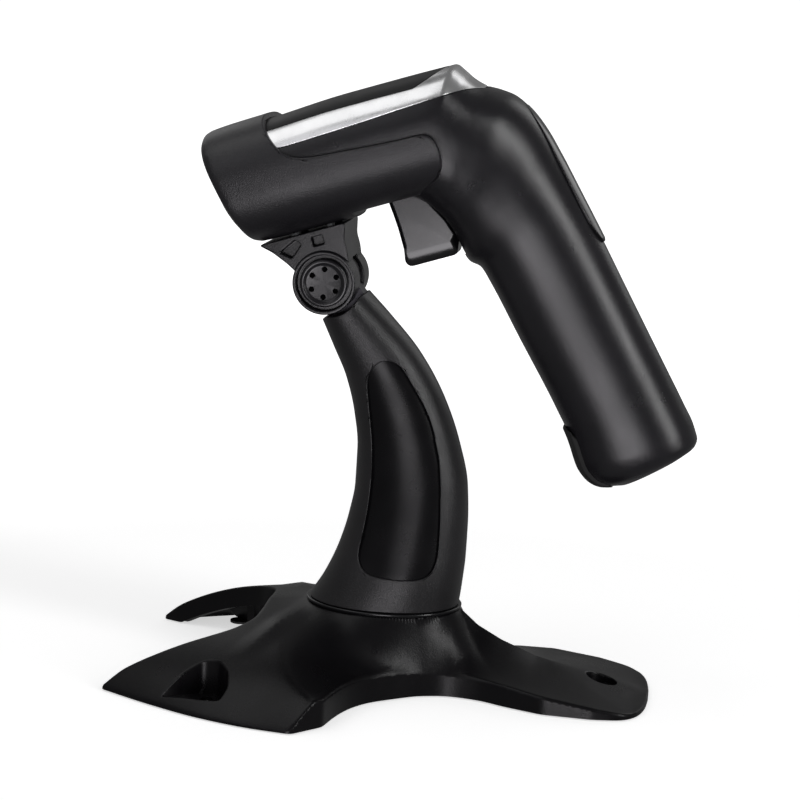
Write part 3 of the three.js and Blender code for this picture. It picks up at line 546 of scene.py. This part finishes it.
def base_shell():
    """The base moulding: top, lower rim, hollow underside and the walls between them."""
    inner = offset_loop(base_loop, WALL)
    inner = even_loop(inner[inside_distance(inner, base_loop) > WALL * 0.96], 1.5)
    rings = []
    for by in (0.15, 0.4, 0.8, 1.3, 2.2):
        ring = offset_loop(base_loop, by)
        rings.append(ring[inside_distance(ring, base_loop) > by * 0.93])
    folds = np.vstack([fold_line, fold_line * [1, -1], spine_line])
    grid = filled_grid(base_loop, 1.6, 3.0)
    grid = grid[np.hypot(*(grid[:, None] - folds).transpose(2, 0, 1)).min(1) > 1.0]
    grid = grid[np.abs(np.hypot(grid[:, 0] / RIM_A, grid[:, 1] / RIM_B) * RIM_MEAN - 31) > 4.6]
    turn = np.linspace(0, 2 * np.pi, 150, endpoint=False)
    for i, grow in enumerate((-0.3, 0.2, 0.8, 1.6, 2.6, 3.8, 5.2, 6.8, 8.4)):
        at = turn + (i % 2) * turn[1] / 2
        share = 1 + grow / RIM_MEAN
        rings.append(np.column_stack([RIM_A * share * np.cos(at), RIM_B * share * np.sin(at)]))
    for loop in pockets:
        grid = grid[np.abs(inside_distance(grid, loop)) > 1.6]
        rings += [offset_loop(loop, by) for by in (-0.2, -0.45, -0.75, -1.2)]
    loose = np.vstack([grid, folds, *rings])
    loose = loose[inside_distance(loose, base_loop) > 0.12]
    walls = [*pockets, *[offset_loop(loop, 0.12) for loop in pockets]]
    spots, faces = triangulated(base_loop, loose, walls)
    parts = [(np.column_stack([spots, base_height(spots)]), faces.tolist())]

    spots, faces = triangulated(base_loop, np.zeros((0, 2)), [inner])
    faces = faces[inside_distance(spots[faces].mean(1), inner) < 0]
    parts.append((np.column_stack([spots, lower_edge(spots)]), faces.tolist()))

    spots, faces = triangulated(inner, filled_grid(inner, 3.0, 1.0))
    parts.append((np.column_stack([spots, room_height(spots)]), faces.tolist()))

    for loop, low, high in ((base_loop, lower_edge, base_height), (inner, lower_edge, room_height)):
        ends = [np.column_stack([loop, level(loop)]) for level in (low, high)]
        parts.append((np.vstack(ends), grid_faces(2, len(loop), True)))

    points, polygons, start = [], [], 0
    for spots, faces in parts:
        points.append(spots)
        polygons += [[start + i for i in face] for face in faces]
        start += len(spots)
    body = tidy_mesh(new_object("base", np.vstack(points), polygons), 1e-6)
    return carve(body, *[prism(loop, -5, 12, "Z") for loop in holes])


finish_piece(base_shell(), "base_moulding", "stand", "base_black", BASE, "base_shell",
             place=TO_STAND, sharp=24)

# ---------------------------------------------------------------- pillar

PILLAR_STATIONS = [
    ([-12.4, 151.9], [-29.3, 140.2], 15, 2.3), ([-2.9, 142.5], [-24.4, 129.9], 14.8, 2.3),
    ([8.8, 129.5], [-19.1, 118.5], 14.6, 2.3), ([19.2, 112.6], [-15.3, 105], 15, 2.3),
    ([26, 95.6], [-13.4, 91.3], 16, 2.3), ([30.2, 78.6], [-13.5, 77.4], 17.6, 2.3),
    ([31.1, 63], [-15.3, 65.3], 19.6, 2.25), ([31, 51], [-18.6, 53], 21.6, 2.2),
    ([30.3, 40.6], [-23.9, 40.4], 23.6, 2.15), ([29.4, 31.6], [-29.2, 31.6], 24.6, 2.1),
]
INLAY_OUTLINE = [[6.7, 120.2], [11.4, 113.2], [14.7, 107.4], [17.3, 100.5], [19.6, 91.9], [21.2, 79.9],
                 [21.9, 65.4], [21.9, 53.4], [20.2, 47.1], [16.8, 44.8], [8, 44.2], [-4.4, 45.1],
                 [-8.2, 48.6], [-8.9, 52.2], [-7.6, 59.7], [-6.3, 68.7], [-5.6, 81.1], [-6.0, 93.0],
                 [-7.0, 101.2], [-8.4, 110.6], [-9.3, 118.0], [-8.6, 122.7], [-6.1, 126.0], [-2.5, 127.6],
                 [1.0, 127.0], [4.0, 124.6]]
HALF_GAP = 0.01                     # from the middle plane to the edge of a moulded half

pillar_rows = sections(PILLAR_STATIONS, 1.6)
inlay_loop = softened(INLAY_OUTLINE, 1.2, 6)
hinge_in_stand = (HINGE_X - PILLAR_X, HINGE_Z)
leg = [[hinge_in_stand[0] - 6, HINGE_Z - 4], [hinge_in_stand[0] + 8, HINGE_Z + 2], [8.3, 126],
       [0.3, 111.7], [-11.3, 118]]

for side, word in ((1, "left"), (-1, "right")):
    body = loft("pillar", pillar_rows, 112)
    recess = prism(offset_loop(inlay_loop, -0.08), min(0, side * 40), max(0, side * 40), "Y")
    recess = carve(recess, loft("core", inset_rows(pillar_rows, 2.4)))
    saddle = bar(*hinge_in_stand, 13.6, -40, 40, 96)
    inside = block(-60, 60, -60, 60, 40, 138)
    room = carve(loft("room", inset_rows(pillar_rows, 4.6), 32), inside, how="INTERSECT")
    half = block(-60, 60, min(HALF_GAP * side, 60 * side), max(HALF_GAP * side, 60 * side), 0, 200)
    carve(body, recess, saddle, prism(leg, -4.9, 4.9, "Y"), room)
    carve(body, half, how="INTERSECT")
    soften_edges(body, 0.45, 3, 38)
    finish_piece(body, f"pillar_shell_{word}", "stand", "pillar_black", PILLAR, f"pillar_{word}",
                 place=TO_STAND)
    slab = prism(inlay_loop, min(0, side * 40), max(0, side * 40), "Y")
    plate = carve(loft("plate", inset_rows(pillar_rows, 1.1), 112), slab, how="INTERSECT")
    carve(plate, loft("back", inset_rows(pillar_rows, 2.1), 64))
    finish_piece(plate, f"pillar_pad_{word}", "stand", "gloss_black", INLAY, f"pillar_inlay_{word}",
                 place=TO_STAND)


def foot_ring():
    """The dark collar that closes the joint between the pillar and the base."""
    turn = np.linspace(0, 2 * np.pi, 128, endpoint=False)
    rows = [(-4, 29.8), (-0.3, 29.8), (0.2, 30.1), (0.4, 30.6), (0.4, 31.0), (0.2, 31.25), (-0.3, 31.3),
            (-1.3, 31.35), (-1.6, 31.7), (-4, 31.7)]
    rings = [np.column_stack([(RIM_A + grow) * np.cos(turn), (RIM_B + grow) * np.sin(turn),
                              np.full(128, level)]) for grow, level in rows]
    points = np.stack([*rings, rings[0]]).reshape(-1, 3)
    return tidy_mesh(new_object("ring", points, grid_faces(len(rows) + 1, 128, True)))


finish_piece(foot_ring(), "foot_collar", "stand", "gloss_black", GLOSS, "pillar_foot_ring", place=TO_STAND)

# ---------------------------------------------------------------- holder and hinge

CUP_STATIONS = [
    ([-30.8, 63.9], [-22.9, 24.4], 34.4, 2.7), ([-30.2, 65.1], [-22.3, 22.6], 35.2, 2.75),
    ([-28.4, 66.3], [-20.2, 20.8], 36, 2.8), ([-8, 67.2], [-8, 20.4], 36.2, 2.8),
    ([26, 67.8], [26, 20.4], 36.2, 2.8), ([60, 67.8], [60, 20.4], 36.2, 2.8),
]
COLLAR_LINE = [[-5, 90], [-5, 65.3], [-3.7, 60.5], [-2, 56.8], [0.1, 52.9], [3.8, 49.2], [9, 47.4],
               [22.2, 46.1], [44.8, 44.5], [53.1, 44.2], [56.3, 42.2], [57.5, 35.4], [56.6, 30.8],
               [53.7, 27.1], [48.7, 25.2]]
BRACKET_ARMS = [[-20.5, 20], [-16.3, 16.2], [-11.9, 10.6], [-9.4, 6.5], [0, 0], [11, 4.5], [11.7, 9],
                [11.7, 13.5], [13.9, 20]]


def holder_cup():
    """The cup: a collar round the scanner's nose with a wing along each side."""
    rows = sections(CUP_STATIONS, 2.0)
    bore = [([-27.6, 63.9], [-18.4, 22.9], 33.6, 2.8), ([-20, 64.5], [-12, 22.9], 33.7, 2.8),
            ([-8, 64.8], [-8, 22.8], 33.8, 2.8), ([70, 65.4], [70, 22.8], 33.8, 2.8)]
    mouth = [([-44, 56.9], [-36, 31.6], 27.9, 2.7), ([-28.4, 59.9], [-20.2, 27.2], 29.5, 2.8),
             ([-8, 60.7], [-8, 26.9], 29.7, 2.8)]
    line = softened(np.vstack([through(COLLAR_LINE[1:], 1.5), [[46, 5], [-50, 5], [-50, 90], [-5, 90]]]),
                    1.0, 4)
    body = carve(loft("cup", rows, 112), prism(line, -60, 60, "Y"), how="INTERSECT")
    channel = prism(softened([[18, 0], [18, 40], [80, 40], [80, 0]], 1.5, 4), -22, 22, "Y")
    carve(body, loft("bore", sections(bore, 4), 96), loft("mouth", sections(mouth, 4), 96), channel)
    return soften_edges(body, 0.55, 3, 38)


finish_piece(holder_cup(), "cup_moulding", "holder", "grained_black", GRAIN, "holder_cup", place=TO_HEAD)


def holder_bracket():
    """The bracket under the cup, with the hinge drum and the small side pockets."""
    profile = softened(BRACKET_ARMS, 0.6, 4)
    body = prism(profile, -17, 17, "Y")
    carve(body, loft("cup", inset_rows(sections(CUP_STATIONS, 3), -0.02), 96))
    carve(body, bar(0, 0, 12, -19, 19, 96), how="UNION")
    tools = [bar(0, 0, 12.6, -5.6, 5.6, 72), bar(0, 0, 10.7, 15.6, 30, 72), bar(0, 0, 10.7, -30, -15.6, 72)]
    for y in (-17, 17):
        wedge = softened([[-13.5, 15.4], [-6.5, 18.6], [-4.6, 16.2], [-9.6, 12]], 0.4, 3)
        window = softened([[-0.4, 17.8], [4, 17.8], [4, 14.2], [-0.4, 14.2]], 0.4, 2)
        tools += [prism(wedge, y - 3.5, y + 3.5, "Y"), prism(window, y - 3.5, y + 3.5, "Y")]
    carve(body, *tools)
    return soften_edges(body, 0.45, 3, 38)


finish_piece(holder_bracket(), "hinge_bracket", "holder", "gloss_black", KNOB, "holder_bracket",
             place=TO_HEAD)


DISC_FACE = 19.1                    # how far a hinge disc's face stands from the middle plane
HOLE_RING = 5.3                     # radius of the ring its blind holes stand on


def knob_holes():
    """Centres of the six blind holes in a hinge disc."""
    turns = [2 * math.pi * (i + 0.18) / 6 for i in range(6)]
    return [(HOLE_RING * math.cos(turn), HOLE_RING * math.sin(turn)) for turn in turns]


def painted_hole_shade(side):
    """Painted shade: near-black plugs in the bottoms of a disc's blind holes, where only shade falls."""
    face = DISC_FACE * side
    span = sorted((face - side * 2.8, face - side * 1.5))
    bars = [bar(*at, 1.05, *span, 32) for at in knob_holes()]
    return carve(bars[0], *bars[1:], how="UNION")


def knob_disc(side):
    """A ringed disc at the end of the hinge axis."""
    face = DISC_FACE * side
    steps = [(9.0, 0.0), (9.1, 0.2), (9.1, 2.6), (8.9, 3.0), (8.5, 3.2), (7.9, 3.2), (7.5, 3.05), (7.1, 2.6),
             (6.4, 2.45), (0.05, 2.45)]
    profile = [(radius, face - side * (3.2 - height)) for radius, height in steps]
    disc = lathe(profile)
    span = sorted((face - side * 2.9, face + side * 3))
    return carve(disc, *[bar(*at, 1.1, *span, 32) for at in knob_holes()])


finish_piece(knob_disc(-1), "tilt_knob_disc", "knob", "gloss_black", KNOB, "tilt_knob", place=TO_HEAD)
# near-black plugs in the blind holes: painted shade on top of the dark that the holes' depth gives
finish_piece(painted_hole_shade(-1), "tilt_knob_painted_hole_shade", "knob", "rubber", PAINTED_HOLE_SHADE, place=TO_HEAD)
finish_piece(painted_hole_shade(1), "pivot_cap_painted_hole_shade", "holder", "rubber", PAINTED_HOLE_SHADE, place=TO_HEAD)
finish_piece(knob_disc(1), "pivot_cap_disc", "holder", "gloss_black", KNOB, "pivot_cap", place=TO_HEAD)

# ---------------------------------------------------------------- scanner

SCANNER_STATIONS = [
    ([-25.4, 64], [-16.6, 24.6], 31.6, 2.7), ([-22, 64.3], [-13, 24.2], 33, 2.8),
    ([-2, 65.2], [-2, 24], 33.1, 2.8), ([26, 66.3], [22, 23.8], 33.2, 2.8),
    ([50, 66.2], [35, 23.3], 33.2, 2.8), ([62, 66], [41.5, 21], 33, 2.8),
    ([67.8, 65.8], [45, 18], 32.6, 2.75), ([70.2, 63], [46, 16.8], 32.2, 2.72),
    ([72.6, 59.4], [46.8, 15.6], 31.8, 2.7), ([76.8, 55.2], [48.6, 12.6], 31, 2.6),
    ([81.8, 52.2], [50, 9.4], 29.8, 2.5), ([86.7, 48.5], [51, 5.8], 28.4, 2.45),
    ([91.7, 40.8], [52, 0.5], 26, 2.4), ([95, 31.5], [52.6, -3.6], 24.2, 2.4),
    ([97.1, 22.3], [53.8, -7.0], 22.8, 2.35), ([100.4, 6.8], [57.3, -10.4], 21, 2.3),
    ([103.6, -8.3], [59.5, -18], 20, 2.3), ([108.3, -31.9], [64.1, -39.3], 19.4, 2.3),
    ([113.9, -59.8], [70.8, -69.6], 19.4, 2.3), ([118.2, -81.4], [73.2, -84], 19.8, 2.35),
    ([119.7, -89.8], [73.6, -92.6], 19.8, 2.35), ([119.85, -94.6], [75.4, -98.6], 19, 2.35),
    ([118.4, -97.3], [79.6, -103.0], 16.6, 2.4), ([115.4, -98.6], [86.6, -104.9], 13, 2.4),
]
TRIM_LINE = [[-60, 53], [1.7, 53.4], [27.9, 54.2], [55.1, 55.5], [68.3, 55.9], [76.9, 54.6], [82.7, 52.2],
             [86.2, 49.8], [90, 46.4], [96, 40]]
PANEL_HALF = [[-40, 25.6], [52, 26], [57.5, 23], [62, 17.6], [65.3, 9.5], [66.6, 3], [66.9, 0]]
SEAM = 0.12                         # half the gap between neighbouring mouldings

scanner_rows = sections(SCANNER_STATIONS, 0.9)
trim_curve = through(TRIM_LINE, 1.0)
panel_curve = through(PANEL_HALF, 0.5)


def first_crossing(rows, measure):
    """Angle at which a measure of the section's points first turns negative, going down one side."""
    angles = np.linspace(1e-4, np.pi - 1e-4, 721)
    points = on_section(rows, np.broadcast_to(angles, (len(rows), len(angles))))
    value = measure(points)
    below = value < 0
    k = np.where(below.any(1), below.argmax(1), len(angles) - 1)
    before = np.maximum(k - 1, 0)
    row = np.arange(len(rows))
    first, second = value[row, before], value[row, k]
    part = np.clip(first / np.where(np.abs(first - second) < 1e-9, 1, first - second), 0, 1)
    found = angles[before] + part * (angles[k] - angles[before])
    return np.where(k == 0, 0.0, found)


def above_trim(points, lift):
    """How far each point is above the trim's lower edge."""
    return points[..., 2] - np.interp(points[..., 0], trim_curve[:, 0], trim_curve[:, 1]) - lift


def within_panel(points):
    """How far each point is inside the top cover's outline, seen from above."""
    limit = np.interp(points[..., 0], panel_curve[:, 0], panel_curve[:, 1], right=-1)
    return np.where(limit > 0, limit - np.abs(points[..., 1]), -1.0)


def seam_angle(rows, gap):
    """Angle on each section that leaves a gap from the middle plane."""
    return np.arcsin(np.clip((gap / rows[:, 4]) ** (rows[:, 5] / 2), 0, 1))


EDGE_STEPS = np.array([0, 0.04, 0.15, 0.4, 0.75, 1.0])


def band(name, rows, low, high, count, wall, edge, ends=(True, True), extra=0.0):
    """A shell on the scanner's skin between two angles of each section, with rounded borders."""
    angles = np.linspace(0, 1, 241)[None] * (high - low)[:, None] + low[:, None]
    fine = on_section(rows, angles)
    run = np.concatenate([np.zeros((len(rows), 1)),
                          np.cumsum(np.linalg.norm(np.diff(fine, axis=1), axis=2), axis=1)], axis=1)
    length = run[:, -1:]
    border = np.minimum(edge * EDGE_STEPS[None], length * 0.45 * EDGE_STEPS[None])
    middle = border[:, -1:] + (length - 2 * border[:, -1:]) * np.linspace(0, 1, count + 2)[1:-1][None]
    at = np.concatenate([border, middle, (length - border)[:, ::-1]], axis=1)
    turned = np.stack([np.interp(at[i], run[i], angles[i]) for i in range(len(rows))])
    skin = on_section(rows, turned)
    along = np.gradient(skin, axis=0)
    around = on_section(rows, turned + 2e-3) - on_section(rows, turned - 2e-3)
    normal = np.cross(along, around)
    normal /= np.maximum(np.linalg.norm(normal, axis=2, keepdims=True), 1e-9)
    middle_line = np.stack([(rows[:, 0] + rows[:, 2]) / 2, rows[:, 0] * 0, (rows[:, 1] + rows[:, 3]) / 2], 1)
    outward = ((skin - middle_line[:, None]) * normal).sum(2, keepdims=True)
    normal *= np.where(outward.mean() < 0, -1, 1)
    across = np.minimum(at, length - at)
    walked = np.concatenate([[0], np.cumsum(np.linalg.norm(np.diff(skin.mean(1), axis=0), axis=1))])
    gap = np.full(len(rows), 1e3)
    if ends[0]:
        gap = np.minimum(gap, walked)
    if ends[1]:
        gap = np.minimum(gap, walked[-1] - walked)
    drop = rounded_down(np.minimum(across, gap[:, None]), edge)[..., None]
    outer = skin + normal * (extra - drop)
    inner = skin - normal * wall
    n, m = skin.shape[:2]
    points = np.concatenate([outer.reshape(-1, 3), inner.reshape(-1, 3)])
    faces = grid_faces(n, m, False) + grid_faces(n, m, False, n * m)
    rim = [i * m for i in range(n)] + [(n - 1) * m + j for j in range(1, m)]
    rim += [i * m + m - 1 for i in range(n - 2, -1, -1)] + [j for j in range(m - 2, 0, -1)]
    faces += [[rim[i], rim[(i + 1) % len(rim)], n * m + rim[(i + 1) % len(rim)], n * m + rim[i]]
              for i in range(len(rim))]
    return tidy_mesh(new_object(name, points, faces), 1e-6)


def closed_end(rows, steps=5):
    """More sections that draw the last one in to a flat end."""
    last = rows[-1]
    centre = (last[0:2] + last[2:4]) / 2
    more = []
    for share in np.linspace(1, 0.03, steps + 1)[1:]:
        row = last.copy()
        row[0:2] = centre + (last[0:2] - centre) * share
        row[2:4] = centre + (last[2:4] - centre) * share
        row[4] = last[4] * share
        more.append(row)
    return np.vstack([rows, more])


def body_half(side):
    """One of the scanner's two shells, from the trim's edge round to the middle of the belly."""
    rows = scanner_rows[scanner_rows[:, 0] > -21]
    top = first_crossing(rows, lambda p: above_trim(p, -SEAM))
    top = np.maximum(top, seam_angle(rows, HALF_GAP))
    rows_closed = closed_end(rows)
    top = np.concatenate([top, np.maximum(seam_angle(rows_closed[len(rows):], HALF_GAP), 1e-4)])
    bottom = np.pi - np.maximum(seam_angle(rows_closed, HALF_GAP), 1e-4)
    low, high = (top, bottom) if side > 0 else (-bottom, -top)
    return band("half", rows_closed, low, high, 70, 2.2, 0.25, (True, False))


GRIP_LEAN = math.radians(13)


def grip_frame(points):
    """Points given along and across the grip, in the scanner's frame."""
    points = np.asarray(points, float)
    cosine, sine = math.cos(GRIP_LEAN), math.sin(GRIP_LEAN)
    return np.column_stack([89 + points[:, 0] * cosine - points[:, 1] * sine,
                            -46 + points[:, 0] * sine + points[:, 1] * cosine])


TRIGGER_MOUTH = [[28.6, -4.2], [57.8, -4.2], [57.8, 20], [52, 29], [44, 34], [28.6, 34]]
PORT_LINE = [[68, -79.2], [73.2, -76.6], [76.2, -81.2], [79, -85.5], [81.4, -92.8], [83.4, -99.5],
             [86, -109], [66, -109]]


def insert_angles(rows, half):
    """Half-angle of the rear insert on each section, rounded off at its two ends."""
    level = rows[:, 1]
    reach = np.clip(1 - np.abs((level - 15.5) / 29.7) ** 5, 0, 1) ** 0.5 * half
    return np.arcsin(np.clip((reach / rows[:, 4]) ** (rows[:, 5] / 2), 1e-4, 1))


insert_rows = scanner_rows[(scanner_rows[:, 1] < 45) & (scanner_rows[:, 1] > -14)]

for side, word in ((1, "left"), (-1, "right")):
    shell = body_half(side)
    mouth = prism(softened(TRIGGER_MOUTH, 0.8, 3), -10.1, 10.1, "Y")
    socket = insert_angles(insert_rows, 9.3)
    seat = band("seat", insert_rows, -socket, socket, 12, 1.5, 0.01, (False, False), 2.0)
    port = prism(grip_frame([[-5.4, -70], [5.4, -70], [5.4, -49.4], [-5.4, -49.4]]), -7, 7, "Y")
    notch = prism(softened(PORT_LINE, 0.8, 2), -12, 12, "Y")
    carve(shell, mouth, seat, port, notch)
    finish_piece(shell, f"scanner_shell_{word}", "scanner", "scanner_black", SATIN, f"scanner_body_{word}",
                 place=TO_HEAD)

insert_turn = insert_angles(insert_rows, 9.0)
proud = np.interp(insert_rows[:, 1], [-14, 20, 45], [1.1, 0.9, 0.2])[:, None, None]
insert = band("insert", insert_rows, -insert_turn, insert_turn, 24, 1.2, 0.35, (True, True), proud)
finish_piece(insert, "rear_insert", "scanner", "gloss_black", GLOSS, "back_insert", place=TO_HEAD)


def top_pieces():
    """The dark top cover and the bright rails on either side of it."""
    rows = scanner_rows[(scanner_rows[:, 0] > -19.5)]
    outer = first_crossing(rows, lambda p: above_trim(p, SEAM))
    used = outer > 0.02
    rows, outer = rows[used], outer[used]
    inner = first_crossing(rows, within_panel)
    inner = np.where(inner > outer, outer * 0.9, inner)
    panel_rows = rows[inner > 0.01]
    panel_turn = inner[inner > 0.01]
    spacing = SEAM / 33
    panel = band("panel", panel_rows, -panel_turn + spacing, panel_turn - spacing, 60, 2.0, 0.45)
    rail = np.where(inner > 0.01, inner + spacing, 3e-4)
    left = band("trim", rows, rail, np.maximum(outer, rail + 1e-3), 18, 2.0, 0.35)
    right = band("trim", rows, -np.maximum(outer, rail + 1e-3), -rail, 18, 2.0, 0.35)
    return panel, left, right


panel, trim_left, trim_right = top_pieces()
finish_piece(panel, "top_cover", "scanner", "panel_black", PANEL, "top_panel", place=TO_HEAD)
finish_piece(trim_left, "trim_rail_left", "scanner", "bright_trim", CHROME, "chrome_trim", place=TO_HEAD)
finish_piece(trim_right, "trim_rail_right", "scanner", "bright_trim", CHROME, "chrome_trim", place=TO_HEAD)


def nose_bezel():
    """The ring round the scan window."""
    rows = scanner_rows[scanner_rows[:, 0] < -19.4]
    body = loft("bezel", np.vstack([rows[:1], rows]), 96)
    mouth = [([-34, 60.0], [-25.5, 28.2], 27.6, 2.7), ([-22, 60.3], [-13, 28.2], 29, 2.8),
             ([-10, 60.5], [-4, 28.2], 29, 2.8)]
    carve(body, loft("mouth", sections(mouth, 3), 96))
    return soften_edges(body, 0.5, 3, 40)


finish_piece(nose_bezel(), "nose_ring", "scanner", "scanner_black", SATIN, "nose_bezel", place=TO_HEAD)


def port_cover():
    """The rubber cover on the front of the grip's foot."""
    foot = scanner_rows[scanner_rows[:, 1] < -60]
    outline = offset_loop(softened(PORT_LINE, 0.8, 2), 0.3)
    body = carve(loft("foot", inset_rows(foot, -1.2), 128), prism(outline, -11.7, 11.7, "Y"), how="INTERSECT")
    carve(body, loft("core", inset_rows(foot, 1.8), 48))
    return soften_edges(body, 0.6, 3, 38)


finish_piece(port_cover(), "toe_cover", "scanner", "rubber", RUBBER, "port_cover", place=TO_HEAD)

TRIGGER_SIDE = [[30.2, 24.5], [30.9, 17], [31.2, 11.8], [31.2, 3.2], [30.3, -1.3], [31.8, -3.2],
                [50.4, -3.2], [53, 3], [51, 11], [46.6, 19], [41.5, 25.5], [38.4, 30.2], [35, 31.8],
                [31.8, 30.2], [31.2, 27.4]]


def trigger():
    """The trigger, with its sides bevelled at the front and more deeply along the bottom."""
    outer = even_loop(softened(TRIGGER_SIDE, 0.8, 2), 0.8)
    inner = offset_loop(outer, 1.4)
    inner[:, 1] += 5.0 * np.clip(1 - (inner[:, 1] + 3) / 15, 0, 1) ** 2
    levels = ((inner, -9.6), (outer, -7.4), (outer, 7.4), (inner, 9.6))
    rings = [np.insert(loop, 1, y, 1) for loop, y in levels]
    count = len(outer)
    faces = grid_faces(4, count, True) + [list(range(count)), [3 * count + i for i in range(count)]]
    body = tidy_mesh(new_object("trigger", np.vstack(rings), faces), 1e-6)
    carve(body, bar(35, 28.6, 1.75, -20, 20, 24))
    return soften_edges(body, 0.45, 3, 30)


finish_piece(trigger(), "trigger_lever", "trigger", "gloss_black", GLOSS, "trigger", place=TO_HEAD)

# ---------------------------------------------------------------- camera, lights and floor

CAMERA_AT = (0.10134, -0.8932261, 0.265)
YAW, PITCH, ROLL = 0.12050, 0.17033, 0.05415
FOCAL_PIXELS = 2361.241

NODE_FINISH = {
    "ballast_plate": STEEL, "pivot_tongue": BLACKENED, "main_board": BOARD, "scan_engine": COMPONENT,
    "engine_lens": LENS, "decoder_chip": COMPONENT, "ribbon_connector": COMPONENT, "beeper": COMPONENT,
    "trigger_switch": COMPONENT, "battery": BATTERY, "scan_window": WINDOW,
}
for name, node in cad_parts.items():
    if node.hide_render:
        continue
    finish = RUBBER if name.startswith("foot_") else NODE_FINISH.get(name, STEEL)
    node.data.materials.clear()
    node.data.materials.append(finish)


def set_camera():
    """The camera at the product view: in front, a little above and to the right."""
    camera = bpy.data.objects.new("camera", bpy.data.cameras.new("camera"))
    bpy.context.scene.collection.objects.link(camera)
    forward = np.array([-math.sin(YAW) * math.cos(PITCH), math.cos(YAW) * math.cos(PITCH), -math.sin(PITCH)])
    right = np.array([math.cos(YAW), math.sin(YAW), 0.0])
    up = np.cross(right, forward)
    across = math.cos(ROLL) * right + math.sin(ROLL) * up
    upward = -math.sin(ROLL) * right + math.cos(ROLL) * up
    turn = Matrix([[across[i], upward[i], -forward[i]] for i in range(3)]).to_4x4()
    camera.matrix_world = Matrix.Translation(CAMERA_AT) @ turn
    camera.data.sensor_width = 36
    camera.data.lens = FOCAL_PIXELS * 36 / 800
    camera.data.clip_start, camera.data.clip_end = 0.05, 60
    bpy.context.scene.camera = camera


def softbox(name, azimuth, elevation, distance, width, height, radiance, colour=(1, 1, 1)):
    """A soft light round the object: azimuth 0 is in front of it and 90 to its right."""
    turn, lift = math.radians(azimuth), math.radians(elevation)
    data = bpy.data.lights.new(name, "AREA")
    data.shape, data.size, data.size_y = "RECTANGLE", width, height
    data.energy, data.color = radiance * math.pi * width * height, colour
    light = bpy.data.objects.new(name, data)
    bpy.context.scene.collection.objects.link(light)
    away = Vector((math.sin(turn) * math.cos(lift), -math.cos(turn) * math.cos(lift), math.sin(lift)))
    light.location = Vector((0, 0, 0.12)) + away * distance
    light.rotation_euler = (-away).to_track_quat("-Z", "Y").to_euler()
    light.visible_camera = False


def pale_floor():
    """A plain pale floor that brightens with distance until it meets the wall."""
    size = 14.0
    floor = new_object("floor", np.array([[-size, -size, 0], [size, -size, 0], [size, size, 0],
                                          [-size, size, 0]]) / MM, [[0, 1, 2, 3]])
    material, nodes, links, shader = nodes_of("floor_paint")
    where = nodes.new("ShaderNodeTexCoord").outputs["Object"]
    tone = noise(nodes, links, where, 3, 2)
    links.new(mixed(nodes, links, tone, (0.88, 0.88, 0.88), (0.90, 0.90, 0.90)), shader.inputs["Base Color"])
    shader.inputs["Emission Color"].default_value = (1, 1, 1, 1)
    reach = nodes.new("ShaderNodeVectorMath")
    reach.operation = "LENGTH"
    links.new(where, reach.inputs[0])
    glow = ramp(nodes, links, reach.outputs["Value"], 0.26, 1.1, 0.59, 1.1)
    links.new(glow, shader.inputs["Emission Strength"])
    shader.inputs["Roughness"].default_value = 0.9
    shader.inputs["Specular IOR Level"].default_value = 0.1
    floor.data.materials.append(material)
    floor.visible_glossy = floor.visible_diffuse = floor.visible_shadow = False


def surroundings():
    """Soft dim room light, with the pale wall that the camera sees."""
    world = bpy.data.worlds.new("studio")
    bpy.context.scene.world = world
    world.use_nodes = True
    nodes, links = world.node_tree.nodes, world.node_tree.links
    output = nodes["World Output"]
    room = nodes["Background"]
    room.inputs["Color"].default_value = (1, 1, 1, 1)
    room.inputs["Strength"].default_value = 0.16
    wall = nodes.new("ShaderNodeBackground")
    wall.inputs["Color"].default_value = (1, 1, 1, 1)
    wall.inputs["Strength"].default_value = 1.05
    choose = nodes.new("ShaderNodeMixShader")
    path = nodes.new("ShaderNodeLightPath")
    links.new(path.outputs["Is Camera Ray"], choose.inputs[0])
    links.new(room.outputs[0], choose.inputs[1])
    links.new(wall.outputs[0], choose.inputs[2])
    links.new(choose.outputs[0], output.inputs["Surface"])


set_camera()
pale_floor()
surroundings()
softbox("table_glow", 1, -13, 1.0, 0.36, 0.40, 5.9, (0.99, 0.96, 1.0))
softbox("strip", 63, 21, 1.4, 0.26, 1.1, 9.0)
softbox("front_fill", -35, 30, 1.5, 0.9, 0.9, 0.65, (0.97, 0.97, 1.0))
softbox("top_left", -78, 63, 1.4, 1.1, 1.0, 0.95)
softbox("back_left", -148, 26, 1.6, 0.7, 0.9, 0.4)
softbox("back_right", 150, 26, 1.6, 0.6, 0.9, 0.9)
bpy.context.scene.view_settings.view_transform = "Standard"
